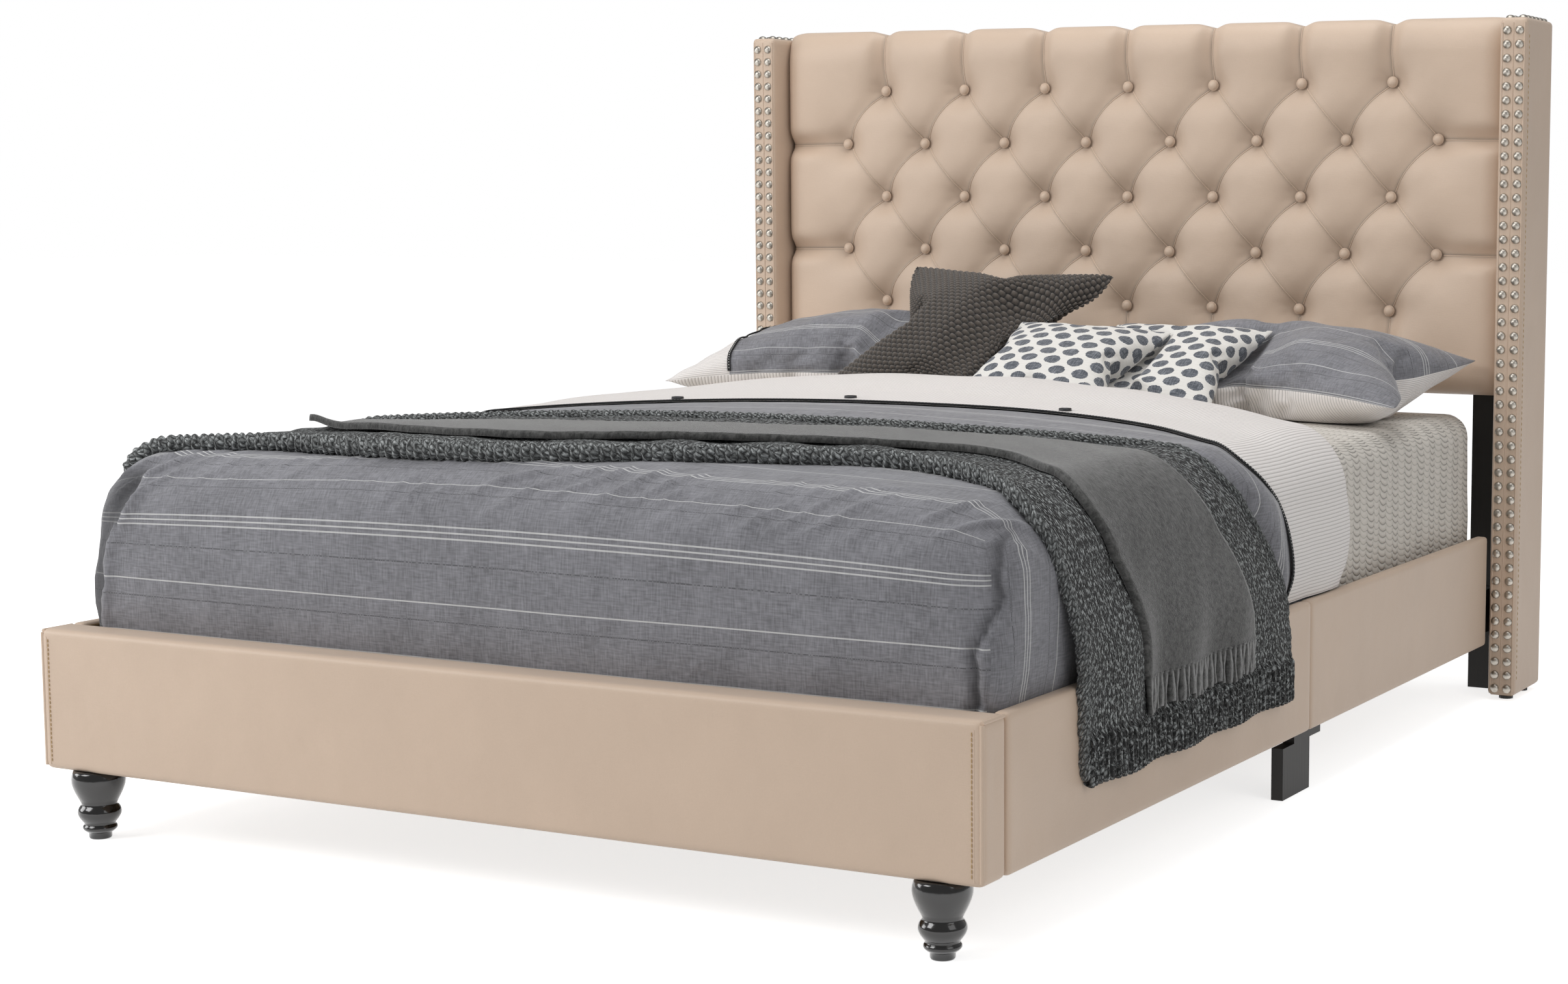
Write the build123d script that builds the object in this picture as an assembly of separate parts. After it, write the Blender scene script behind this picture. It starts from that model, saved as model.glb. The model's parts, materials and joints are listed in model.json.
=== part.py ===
from build123d import *
from math import cos, radians, sin
import os

# Wingback bed with a deep-buttoned headboard, nailhead wings, a low padded
# footboard and split side rails, dressed with its mattress and bedding.
# Millimetres. Seen from the foot, +X is to the right, +Y runs to the head and
# +Z is up. The origin is on the floor under the middle of the bed.

# Overall and shared sizes
bed_length = 2256.5
bed_width = 1722
wing_top = 1306
frame_top = 319
overrun = 10
seat_gap = 0.3

# Wings
wing_width = 54
wing_depth = 173
wing_glide_height = 10
wing_pad = 6
wing_edge_radius = 8
wing_glide_radius = 14
glide_sides = 12
wing_glide_inset_share = 0.22
wing_bolt_height_shares = (0.25, 0.52, 0.9)
wing_bolt_bite = 24

# Nailheads
nail_radius = 8.8
nail_height = 5
nail_draft_angle = 38
nail_sides = 5
nail_pitch = 26.2
nail_foot_margin = 14
nail_head_margin = 20
nail_column_gap = 25
nail_top_margin = 16

# Headboard frame
back_recess = 5
back_panel_thickness = 4
post_thickness = 46
post_width = 76
panel_board_thickness = 18
panel_bottom = 585
pad_cap_height = 14
scallop_rise = 12
frame_member_height = 70
stile_width = 60
lower_rail_bottom = 150
lower_rail_height = 100
lower_rail_thickness = 30

# Tufted pad
pad_thickness = 17
puff_height_share = 0.43
puff_root = 2
puff_base_share = 0.985
puff_step_shares = (0.5, 0.34, 0.16)
puff_draft_angles = (20, 52, 72)
button_columns = 7
button_side_margin = 141.35
button_top_margin = 114.3
button_bottom_margin = 160.3
button_rows = 5
button_radius = 13
button_height = 19
button_sides = 6
button_step_shares = (0.7, 0.3)
button_draft_angles = (0, 50)
button_well_clearance = 1

# Footboard and feet
footboard_end_inset = 58
footboard_thickness = 65
footboard_bottom = 105
footboard_pad = 6
footboard_edge_radius = 9
foot_inset = 76
foot_radius = 39
foot_bolt_length = 60
foot_chord_shares = (0, 0.5)
foot_profile_shares = (
    ((0.43, 0.08), (0.645, 0.15), (0.565, 0.215)),
    ((0.565, 0.215), (0.82, 0.375), (0.655, 0.51)),
    ((0.655, 0.51), (1.0, 0.8), (0.92, 1.0)),
)

# Side rails
rail_bottom = 107
rail_thickness = 24
rail_pad = 4
rail_corner_radius = 10
rail_edge_radius = 3
rail_split = 1130
rail_split_gap = 2
wing_rail_clearance = 2
rail_head_gap = 5

# Slat support
mattress_seat = 262
slat_thickness = 18
slat_width = 68
slat_count = 14
slat_end_clearance = 2
slat_end_margin = 22
cleat_size = 28
centre_beam_height = 54
centre_beam_width = 40
cross_beam_height = 60
cross_beam_width = 40
centre_leg_width = 44
centre_leg_glide_height = 6
centre_leg_glide_radius = 19
centre_leg_share = 0.5
side_leg_thickness = 20
side_leg_width = 118
side_leg_step = 49
side_leg_shoulder = 85
side_leg_top = 178
side_leg_hole_shares = (0.42, 0.82)
side_leg_front_offset = 59

# Steel fittings
plate_thickness = 3
bracket_height = 84
bracket_bottom = 120
bracket_flange = 46
bracket_foot_arm = 70
bracket_head_overlap = 100
bracket_hole_share = 0.28
splice_length = 180
splice_height = 26
splice_clearance = 5
splice_hole_shares = (0.4, 0.8)
bolt_radius = 4
bolt_sides = 6
bolt_clearance = 0.3
bolt_head_radius = 7
bolt_head_sides = 6
bolt_head_height = 4
bolt_bite = 12
hanger_depth = 30
hanger_wall = 3

# Mattress and coverlet
mattress_side_gap = 19
mattress_head_gap = 8
mattress_height = 290
mattress_foot_gap = 13
mattress_edge_radius = 30
mattress_corner_radius = 50
coverlet_thickness = 4
tuck_depth = 28

# Duvet and its turned-back band
duvet_loft = 34
duvet_crown = 14
duvet_corner_radius = 42
duvet_overhang = 3
duvet_bulge = 6
duvet_tuck_room = 1.5
duvet_lip_rise = 3
duvet_foot_inset = 34
duvet_foot_round = 52
duvet_foot_level_shares = ((0.01, 1.0), (0.3, 0.36), (1.0, 0.0))
duvet_inset_side_share = 0.25
duvet_head_reach = 642
duvet_head_slant = 100
band_thickness = 8
band_top_depth = 235
band_corner_depth = 330
band_side_depth = 455
band_flare_share = 0.78

# Throws
knit_thickness = 12
knit_front = 200
knit_hem = 180
felt_thickness = 6
felt_hem = 252
throw_band_gap = 45
fold_depth = 9
fold_level_shares = (0.1, 0.7, 1.0)
knit_fold_count = 7
felt_start_count = 2
felt_fold_count = 3
throw_rail_clearance = 1

# Pillows and cushions
pillow_overhang = 33
pillow_depth = 530
pillow_thickness = 210
pillow_draw = 18
pillow_tilt_angle = 8
pillow_gap = 110
pillow_head_clearance = 4
pillow_seam_rise = 66
stuffed_level_shares = ((0.0, 1.0, -1.0), (0.5, 0.88, 0.2), (0.86, 0.64, 0.6), (1.0, 0.3, 0.4))
seam_chord_shares = (0, 0.25, 0.5, 0.75)
cushion_draw = 14
charcoal_size = 470
charcoal_thickness = 120
charcoal_tilt_angle = 32
charcoal_centre_x = -165
charcoal_head_reach = 567
dotted_size = 340
dotted_thickness = 96
dotted_tilt_angle = 26
dotted_centre_x = (95, 275)
dotted_head_reach = (632, 552)
cushion_seam_height = 16
cushion_back_share = 0.3

# Places worked out from the sizes above
half_length = bed_length / 2
foot_face = foot_radius - footboard_thickness / 2 - half_length
wing_outer = bed_width / 2
wing_inner = wing_outer - wing_width
wing_front = half_length - wing_depth
rail_outer = wing_inner - wing_rail_clearance
rail_inner = rail_outer - rail_thickness
footboard_back = foot_face + footboard_thickness
back_panel_front = half_length - back_recess - back_panel_thickness
post_front = back_panel_front - post_thickness
board_front = post_front - panel_board_thickness
pad_face = board_front - pad_thickness
footboard_width = bed_width - 2 * footboard_end_inset
foot_spacing = footboard_width - 2 * foot_inset
post_inner = wing_inner - post_width
panel_half = wing_inner - seat_gap
board_top = wing_top - pad_cap_height
button_pitch = 2 * (panel_half - button_side_margin) / button_columns
button_top_height = wing_top - button_top_margin
button_field_height = button_top_height - panel_bottom - button_bottom_margin
button_row_pitch = button_field_height / (button_rows - 1)
puff_height = button_row_pitch * puff_height_share
puff_front = pad_face - puff_height
rail_end = wing_front - rail_head_gap
split = foot_face + rail_split
slat_bottom = mattress_seat - slat_thickness
cleat_bottom = slat_bottom - cleat_size
beam_bottom = slat_bottom - centre_beam_height
cross_bottom = beam_bottom - cross_beam_height
leg_inner = rail_inner - side_leg_thickness
mattress_half = rail_inner - mattress_side_gap
mattress_foot = footboard_back + mattress_foot_gap
mattress_head = puff_front - mattress_head_gap
mattress_top = mattress_seat + mattress_height
cover_half = mattress_half + coverlet_thickness
cover_top = mattress_top + coverlet_thickness
tuck_bottom = frame_top - tuck_depth
duvet_side = rail_inner + duvet_overhang
duvet_tuck = rail_inner - duvet_tuck_room
duvet_lip = frame_top + duvet_lip_rise
duvet_flank_top = cover_top + duvet_loft - duvet_corner_radius
duvet_head_edge = puff_front - duvet_head_reach - foot_face
band_top_edge = duvet_head_edge - band_top_depth
band_corner_edge = duvet_head_edge - band_corner_depth
band_side_edge = duvet_head_edge - band_side_depth
fold_width = (band_side_edge - throw_band_gap - knit_front) / knit_fold_count
pillow_width = mattress_half + pillow_overhang - pillow_gap / 2


def span(x_pair, y_pair, z_pair):
    """Box between two places on each axis."""
    (x0, x1), (y0, y1), (z0, z1) = x_pair, y_pair, z_pair
    middle = Pos((x0 + x1) / 2, (y0 + y1) / 2, (z0 + z1) / 2)
    return middle * Box(abs(x1 - x0), abs(y1 - y0), abs(z1 - z0))


def other_side(shape):
    """The same piece on the -X side."""
    return mirror(shape, about=Plane.YZ)


def one(shape):
    """The single solid of a shape."""
    return shape.solids()[0]


def group(shapes):
    """Separate like solids that share a node."""
    return Compound(children=[one(shape) for shape in shapes])


def stepped_up(face, height, shares, drafts):
    """Stack of drafted steps on a face that looks up Z."""
    body = None
    for share, draft in zip(shares, drafts):
        step = extrude(face, amount=height * share, taper=draft)
        face = step.faces().sort_by(Axis.Z)[-1]
        body = step if body is None else body + step
    return body


def chorded(arcs, shares):
    """Corners of a straight-sided run through places along each arc."""
    return [arc @ share for arc in arcs for share in shares] + [arcs[-1] @ 1]


def standing(radius, height, sides):
    """Upright prism that stands on Z = 0."""
    return extrude(RegularPolygon(radius, sides), amount=height)


def facing_foot(x, y, z):
    """Place whose Z axis points to the foot of the bed."""
    return Pos(x, y, z) * Rot(90, 0, 0)


def bolt(length):
    """Hexagon bolt: its head stands above Z = 0 and its shank goes down."""
    return standing(bolt_head_radius, bolt_head_height, bolt_head_sides) + Pos(0, 0, -length) * standing(
        bolt_radius, length, bolt_sides
    )


def bolt_hole(length):
    """Clearance cut for a bolt's shank."""
    depth = length + bolt_clearance
    return Pos(0, 0, -depth) * standing(bolt_radius + bolt_clearance, depth + overrun, bolt_sides)


# Wings


def wing_bolt_places():
    """Bolt places on the post's inner face, each with Z pointing inwards."""
    middle = post_front + post_thickness / 2
    heights = [wing_top * share for share in wing_bolt_height_shares]
    return [Pos(post_inner, middle, height) * Rot(0, -90, 0) for height in heights]


def wing_bolt_length():
    return post_width + wing_pad + wing_bolt_bite


def wing_core():
    body = span(
        (wing_inner + wing_pad, wing_outer - wing_pad),
        (wing_front + wing_pad, half_length - wing_pad),
        (wing_glide_height, wing_top - wing_pad),
    )
    for place in wing_bolt_places():
        body -= place * bolt_hole(wing_bolt_length())
    return body


def wing_cover():
    skin = span((wing_inner, wing_outer), (wing_front, half_length), (wing_glide_height, wing_top))
    skin = fillet(skin.edges().filter_by(Axis.Z), wing_edge_radius)
    skin = chamfer(skin.faces().sort_by(Axis.Z)[-1].edges(), wing_edge_radius / 2)
    skin -= span(
        (wing_inner + wing_pad, wing_outer - wing_pad),
        (wing_front + wing_pad, half_length - wing_pad),
        (wing_glide_height - overrun, wing_top - wing_pad),
    )
    for place in wing_bolt_places():
        skin -= place * bolt_hole(wing_bolt_length())
    return skin


def wing_glides():
    middle = wing_inner + wing_width / 2
    inset = wing_depth * wing_glide_inset_share
    glides = []
    for x in (-middle, middle):
        for y in (wing_front + inset, half_length - inset):
            glides.append(Pos(x, y, 0) * standing(wing_glide_radius, wing_glide_height, glide_sides))
    return group(glides)


def wing_bolts():
    bolts = []
    for place in wing_bolt_places():
        fitted = place * bolt(wing_bolt_length())
        bolts += [fitted, other_side(fitted)]
    return group(bolts)


def nailheads():
    """Two columns of domed nails up each wing's front and back over its top."""
    middle = wing_inner + wing_width / 2
    columns = (middle - nail_column_gap / 2, middle + nail_column_gap / 2)
    nail = extrude(RegularPolygon(nail_radius, nail_sides), amount=nail_height, taper=nail_draft_angle)
    rise = wing_top - wing_glide_height - nail_foot_margin - nail_head_margin
    rows = int(rise / nail_pitch) + 1
    top_rows = int((wing_depth - 2 * nail_top_margin) / nail_pitch) + 1
    nails = []
    for x in columns + tuple(-column for column in columns):
        for row in range(rows):
            height = wing_glide_height + nail_foot_margin + row * nail_pitch
            nails.append(facing_foot(x, wing_front, height) * nail)
        for row in range(top_rows):
            y = wing_front + nail_top_margin + nail_radius / 2 + row * nail_pitch
            nails.append(Pos(x, y, wing_top) * nail)
    return group(nails)


# Headboard


def post():
    body = span((post_inner, wing_inner), (post_front, back_panel_front), (0, board_top))
    for place in wing_bolt_places():
        body -= place * bolt_hole(wing_bolt_length())
    for place in bracket_head_flange_holes():
        body -= place * bolt_hole(plate_thickness + bolt_bite)
    return body


def frame_member(bottom):
    """Cross rail between the two posts."""
    top = bottom + frame_member_height
    return span((-post_inner, post_inner), (post_front, back_panel_front), (bottom, top))


def centre_stile():
    bottom = panel_bottom + frame_member_height
    top = board_top - frame_member_height
    return span((-stile_width / 2, stile_width / 2), (post_front, back_panel_front), (bottom, top))


def lower_rail():
    back = post_front + lower_rail_thickness
    top = lower_rail_bottom + lower_rail_height
    return span((-post_inner, post_inner), (post_front, back), (lower_rail_bottom, top))


def panel_board():
    return span((-panel_half, panel_half), (board_front, post_front), (panel_bottom, board_top))


def back_panel():
    back = back_panel_front + back_panel_thickness
    return span((-panel_half, panel_half), (back_panel_front, back), (panel_bottom, board_top))


def button_row(row):
    """X places of a row's buttons: rows take turns at 7 and 8."""
    count = button_columns + row % 2
    return [(place - (count - 1) / 2) * button_pitch for place in range(count)]


def row_height(row):
    return button_top_height - row * button_row_pitch


def button_places():
    return [(x, row_height(row)) for row in range(button_rows) for x in button_row(row)]


def puff_outlines():
    """Outline of each pillow of padding between the pleats, as (x, z) points."""
    last = button_rows - 1
    outlines = []
    for row in range(1, last):
        above_row = button_row(row - 1)
        for x in above_row if row % 2 else above_row[1:-1]:
            outlines.append([
                (x, row_height(row - 1)),
                (x + button_pitch / 2, row_height(row)),
                (x, row_height(row + 1)),
                (x - button_pitch / 2, row_height(row)),
            ])
    for row, next_row, edge in ((0, 1, wing_top), (last, last - 1, panel_bottom)):
        ends = button_row(row)
        for left, right in zip(ends, ends[1:]):
            outlines.append([
                (left, edge),
                (left, row_height(row)),
                ((left + right) / 2, row_height(next_row)),
                (right, row_height(row)),
                (right, edge),
            ])
        outer, inner = button_row(next_row)[-1], ends[-1]
        for side in (-1, 1):
            outlines.append([
                (side * inner, edge),
                (side * inner, row_height(row)),
                (side * outer, row_height(next_row)),
                (side * panel_half, row_height(next_row)),
                (side * panel_half, edge),
            ])
    for row in range(2, last - 1, 2):
        outer, inner = button_row(row - 1)[-1], button_row(row)[-1]
        for side in (-1, 1):
            outlines.append([
                (side * panel_half, row_height(row - 1)),
                (side * outer, row_height(row - 1)),
                (side * inner, row_height(row)),
                (side * outer, row_height(row + 1)),
                (side * panel_half, row_height(row + 1)),
            ])
    return outlines


def puff(outline):
    """One stuffed puff: drafted steps that close in as they rise from the pad."""
    count = len(outline)
    middle_x = sum(x for x, z in outline) / count
    middle_z = sum(z for x, z in outline) / count
    points = [
        (middle_x + (x - middle_x) * puff_base_share, middle_z + (z - middle_z) * puff_base_share)
        for x, z in outline
    ]
    turn = sum(x * next_z - next_x * z for (x, z), (next_x, next_z) in zip(points, points[1:] + points[:1]))
    base = make_face(Polyline(*(points if turn > 0 else points[::-1]), close=True))
    return facing_foot(0, pad_face + puff_root, 0) * stepped_up(
        base, puff_height + puff_root, puff_step_shares, puff_draft_angles
    )


def scalloped_edge():
    """Top edge of the pad, drawn down at each upright pleat."""
    pleats = [-panel_half] + button_row(0) + [panel_half]
    return [
        ThreePointArc(
            (left, 0, wing_top),
            ((left + right) / 2, 0, wing_top + scallop_rise),
            (right, 0, wing_top),
        )
        for left, right in zip(pleats, pleats[1:])
    ]


def tufted_pad():
    sides = Polyline(
        (panel_half, 0, wing_top),
        (panel_half, 0, panel_bottom),
        (-panel_half, 0, panel_bottom),
        (-panel_half, 0, wing_top),
    )
    outline = make_face(scalloped_edge() + [sides])
    depth = back_panel_front - pad_face
    pad = Pos(0, pad_face, 0) * extrude(outline, amount=depth, dir=(0, 1, 0))
    pad -= span(
        (-wing_outer, wing_outer),
        (board_front, back_panel_front + overrun),
        (panel_bottom - overrun, board_top),
    )
    pad = pad + [puff(outline) for outline in puff_outlines()]
    well = standing(button_radius + button_well_clearance, puff_height, button_sides)
    return pad - [facing_foot(x, pad_face, z) * well for x, z in button_places()]


def panel_buttons():
    face = make_face(RegularPolygon(button_radius, button_sides).edges())
    button = stepped_up(face, button_height, button_step_shares, button_draft_angles)
    return group([facing_foot(x, pad_face, z) * button for x, z in button_places()])


# Footboard and feet


def foot_places():
    y = foot_face + footboard_thickness / 2
    return [Pos(x, y, 0) for x in (foot_spacing / 2, -foot_spacing / 2)]


def foot_bolt_hole():
    """Cut for a hanger bolt that joins a foot to the footboard."""
    start = footboard_bottom - (foot_bolt_length + bolt_clearance) / 2
    depth = foot_bolt_length + bolt_clearance
    return Pos(0, 0, start) * standing(bolt_radius + bolt_clearance, depth, bolt_sides)


def foot():
    """Turned bun foot: a ball over two rings and a small pad."""
    arcs = [
        ThreePointArc(*[(foot_radius * out, 0, footboard_bottom * up) for out, up in run])
        for run in foot_profile_shares
    ]
    run = chorded(arcs, foot_chord_shares)
    outline = Polyline((0, 0, 0), (run[0].X, 0, 0), *run, (0, 0, run[-1].Z), close=True)
    turned = revolve(make_face(outline), Axis.Z)
    return turned - foot_bolt_hole()


def foot_bolts():
    start = footboard_bottom - foot_bolt_length / 2
    bolt_body = Pos(0, 0, start) * standing(bolt_radius, foot_bolt_length, bolt_sides)
    return group([place * bolt_body for place in foot_places()])


def footboard_core():
    half = footboard_width / 2
    body = span(
        (-half + footboard_pad, half - footboard_pad),
        (foot_face + footboard_pad, footboard_back),
        (footboard_bottom + footboard_pad, frame_top - footboard_pad),
    )
    for place in foot_places():
        body -= place * foot_bolt_hole()
    for place in bracket_foot_flange_holes():
        body -= place * bolt_hole(plate_thickness + bolt_bite)
        body -= other_side(place * bolt_hole(plate_thickness + bolt_bite))
    return body


def footboard_cover():
    half = footboard_width / 2
    skin = span((-half, half), (foot_face, footboard_back), (footboard_bottom, frame_top))
    skin = fillet(skin.faces().sort_by(Axis.Y)[0].edges().filter_by(Axis.X), footboard_edge_radius)
    ends = skin.faces().sort_by(Axis.X)
    back = footboard_back - overrun
    soft_ends = [edge for edge in ends[0].edges() + ends[-1].edges() if edge.center().Y < back]
    skin = chamfer(soft_ends, footboard_edge_radius / 2)
    skin -= span(
        (-half + footboard_pad, half - footboard_pad),
        (foot_face + footboard_pad, footboard_back + overrun),
        (footboard_bottom + footboard_pad, frame_top - footboard_pad),
    )
    for place in foot_places():
        skin -= place * foot_bolt_hole()
    return skin


# Side rails


def rail_runs():
    """Front and rear segment of a side rail, as (start, end) along Y."""
    return {
        "front": (footboard_back, split - rail_split_gap / 2),
        "rear": (split + rail_split_gap / 2, rail_end),
    }


def rail_core(run):
    start, end = run
    body = span(
        (rail_inner, rail_outer - rail_pad),
        (start + rail_pad, end - rail_pad),
        (rail_bottom + rail_pad, frame_top - rail_pad),
    )
    for place in rail_bolt_places():
        body -= place * bolt_hole(plate_thickness + bolt_bite)
    for place in side_leg_bolt_places():
        body -= place * bolt_hole(side_leg_thickness + bolt_bite)
    return body


def rail_cover(run):
    """Padded skin round a rail board, stapled off on its bare inner face."""
    start, end = run
    skin = span((rail_inner, rail_outer), (start, end), (rail_bottom, frame_top))
    skin = fillet(skin.edges().filter_by(Axis.X), rail_corner_radius)
    skin = chamfer(skin.faces().sort_by(Axis.X)[-1].edges(), rail_edge_radius)
    return skin - span(
        (rail_inner - overrun, rail_outer - rail_pad),
        (start + rail_pad, end - rail_pad),
        (rail_bottom + rail_pad, frame_top - rail_pad),
    )


def cleats():
    """Ledges along one side's rail boards that carry the slats' ends."""
    pieces = []
    for start, end in rail_runs().values():
        pieces.append(span(
            (rail_inner - cleat_size, rail_inner),
            (start + rail_pad, end - rail_pad),
            (cleat_bottom, slat_bottom),
        ))
    return group(pieces)


# Slats and their support


def slats():
    half = rail_inner - slat_end_clearance
    first = footboard_back + slat_end_margin
    last = rail_end - slat_end_margin - slat_width
    step = (last - first) / (slat_count - 1)
    pieces = []
    for place in range(slat_count):
        start = first + place * step
        pieces.append(span((-half, half), (start, start + slat_width), (slat_bottom, mattress_seat)))
    return group(pieces)


def cross_beam_run():
    """Front and back face of the beam between the two side legs."""
    middle = split - side_leg_front_offset + side_leg_width / 2
    return middle - cross_beam_width / 2, middle + cross_beam_width / 2


def cross_beam():
    return span((-leg_inner, leg_inner), cross_beam_run(), (cross_bottom, beam_bottom))


def centre_beam(run):
    start, end = run
    return span((-centre_beam_width / 2, centre_beam_width / 2), (start, end), (beam_bottom, slat_bottom))


def centre_beam_runs():
    return {
        "front": (footboard_back + hanger_wall, split - rail_split_gap / 2),
        "rear": (split + rail_split_gap / 2, post_front - hanger_wall),
    }


def beam_hangers():
    """Steel U cradles that hold the beam's ends."""
    half = centre_beam_width / 2
    pieces = []
    for wall, inwards in ((footboard_back, 1), (post_front, -1)):
        outer = span(
            (-half - hanger_wall, half + hanger_wall),
            (wall, wall + inwards * (hanger_wall + hanger_depth)),
            (beam_bottom - hanger_wall, slat_bottom - hanger_wall),
        )
        room = span(
            (-half, half),
            (wall + inwards * hanger_wall, wall + inwards * (hanger_depth + hanger_wall + overrun)),
            (beam_bottom, slat_bottom + overrun),
        )
        pieces.append(outer - room)
    return group(pieces)


def beam_splice():
    """Plates either side of the centre beam, across its joint."""
    half = centre_beam_width / 2
    rise = (beam_bottom + splice_clearance, slat_bottom - splice_clearance)
    run = (split - splice_length / 2, split + splice_length / 2)
    plate = span((half, half + plate_thickness), run, rise)
    return group([plate, other_side(plate)])


def centre_leg_places():
    """Y place and top of each leg under the middle of the bed."""
    runs = centre_beam_runs()
    places = [(start + (end - start) * centre_leg_share, beam_bottom) for start, end in runs.values()]
    start, end = cross_beam_run()
    return places + [((start + end) / 2, cross_bottom)]


def centre_legs():
    half = centre_leg_width / 2
    return group([
        span((-half, half), (y - half, y + half), (centre_leg_glide_height, top))
        for y, top in centre_leg_places()
    ])


def leg_glides():
    glide = standing(centre_leg_glide_radius, centre_leg_glide_height, glide_sides)
    return group([Pos(0, y, 0) * glide for y, top in centre_leg_places()])


def side_leg():
    """Black board leg whose shoulder steps back behind the rear rail."""
    front = split - side_leg_front_offset
    outline = [
        (front, 0),
        (front + side_leg_width, 0),
        (front + side_leg_width, side_leg_shoulder),
        (front + side_leg_width + side_leg_step, side_leg_shoulder),
        (front + side_leg_width + side_leg_step, side_leg_top),
        (front + side_leg_step, side_leg_top),
        (front + side_leg_step, side_leg_shoulder),
        (front, side_leg_shoulder),
    ]
    profile = Face(Wire.make_polygon([(leg_inner, y, z) for y, z in outline]))
    board = extrude(profile, amount=side_leg_thickness, dir=(1, 0, 0))
    for place in side_leg_bolt_places():
        board -= place * bolt_hole(side_leg_thickness + bolt_bite)
    return board


def side_leg_bolt_places():
    """Bolt places on the leg's inner face, each with Z pointing inwards."""
    start = split - side_leg_front_offset + side_leg_step
    height = (side_leg_shoulder + side_leg_top) / 2 + bolt_head_radius
    places = [start + side_leg_width * share for share in side_leg_hole_shares]
    return [Pos(leg_inner, y, height) * Rot(0, -90, 0) for y in places]


def side_leg_bolts():
    bolts = []
    for place in side_leg_bolt_places():
        fitted = place * bolt(side_leg_thickness + bolt_bite)
        bolts += [fitted, other_side(fitted)]
    return group(bolts)


# Steel fittings


def bracket_heights():
    shares = (bracket_hole_share, 1 - bracket_hole_share)
    return [bracket_bottom + bracket_height * share for share in shares]


def bracket_foot_arm_holes():
    """Rail side holes of the foot bracket."""
    y = footboard_back + bracket_foot_arm * (1 - bracket_hole_share)
    return [Pos(rail_inner - plate_thickness, y, z) * Rot(0, -90, 0) for z in bracket_heights()]


def bracket_head_arm_holes():
    y = rail_end - bracket_head_overlap * (1 - bracket_hole_share)
    return [Pos(rail_inner - plate_thickness, y, z) * Rot(0, -90, 0) for z in bracket_heights()]


def bracket_foot_flange_holes():
    x = rail_inner - bracket_flange / 2
    return [Pos(x, footboard_back + plate_thickness, z) * Rot(-90, 0, 0) for z in bracket_heights()]


def bracket_head_flange_holes():
    x = rail_inner - bracket_flange / 2
    return [Pos(x, post_front - plate_thickness, z) * Rot(90, 0, 0) for z in bracket_heights()]


def rail_bolt_places():
    """Every bolt that goes into a rail board from a steel plate."""
    return bracket_foot_arm_holes() + bracket_head_arm_holes() + splice_holes()


def angle_bracket(wall, arm_end, hole_places):
    """Steel angle: an arm along the rail board and a flange on the wall it meets."""
    rise = (bracket_bottom, bracket_bottom + bracket_height)
    inwards = 1 if arm_end > wall else -1
    arm = span((rail_inner - plate_thickness, rail_inner), (wall, arm_end), rise)
    flange = span((rail_inner - bracket_flange, rail_inner), (wall, wall + inwards * plate_thickness), rise)
    bracket = arm + flange
    for place in hole_places:
        bracket -= place * bolt_hole(plate_thickness)
    return bracket


def foot_brackets():
    holes = bracket_foot_arm_holes() + bracket_foot_flange_holes()
    bracket = angle_bracket(footboard_back, footboard_back + bracket_foot_arm, holes)
    return group([bracket, other_side(bracket)])


def head_brackets():
    holes = bracket_head_arm_holes() + bracket_head_flange_holes()
    bracket = angle_bracket(post_front, rail_end - bracket_head_overlap, holes)
    return group([bracket, other_side(bracket)])


def splice_holes():
    """Bolt places of the plate across the rail joint, above the side leg."""
    z = side_leg_top + splice_clearance + splice_height / 2
    reaches = [splice_length / 2 * share for share in splice_hole_shares]
    places = [split + side * reach for side in (-1, 1) for reach in reaches]
    return [Pos(rail_inner - plate_thickness, y, z) * Rot(0, -90, 0) for y in places]


def splice_plates():
    """Steel plate across each rail's joint, under the cleats."""
    bottom = side_leg_top + splice_clearance
    plate = span(
        (rail_inner - plate_thickness, rail_inner),
        (split - splice_length / 2, split + splice_length / 2),
        (bottom, bottom + splice_height),
    )
    for place in splice_holes():
        plate -= place * bolt_hole(plate_thickness)
    return group([plate, other_side(plate)])


def fitting_bolts():
    """Bolts through the steel plates into the boards behind them."""
    places = rail_bolt_places() + bracket_foot_flange_holes() + bracket_head_flange_holes()
    bolts = []
    for place in places:
        fitted = place * bolt(plate_thickness + bolt_bite)
        bolts += [fitted, other_side(fitted)]
    return group(bolts)


# Mattress and coverlet


def mattress():
    width = (-mattress_half, mattress_half)
    body = span(width, (mattress_foot, mattress_head), (mattress_seat, mattress_top))
    body = fillet(body.edges().filter_by(Axis.Z), mattress_corner_radius)
    flats = body.faces().filter_by(Axis.Z)
    return chamfer(flats.edges(), mattress_edge_radius / 2)


def covered_mattress():
    """Outer form of the mattress with the coverlet over it, down to the tuck."""
    body = span(
        (-cover_half, cover_half),
        (mattress_foot - coverlet_thickness, mattress_head + coverlet_thickness),
        (tuck_bottom, cover_top),
    )
    body = fillet(body.edges().filter_by(Axis.Z), mattress_corner_radius + coverlet_thickness)
    return chamfer(body.faces().sort_by(Axis.Z)[-1].edges(), mattress_edge_radius / 2)


def coverlet():
    return covered_mattress() - mattress()


# Duvet


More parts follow.
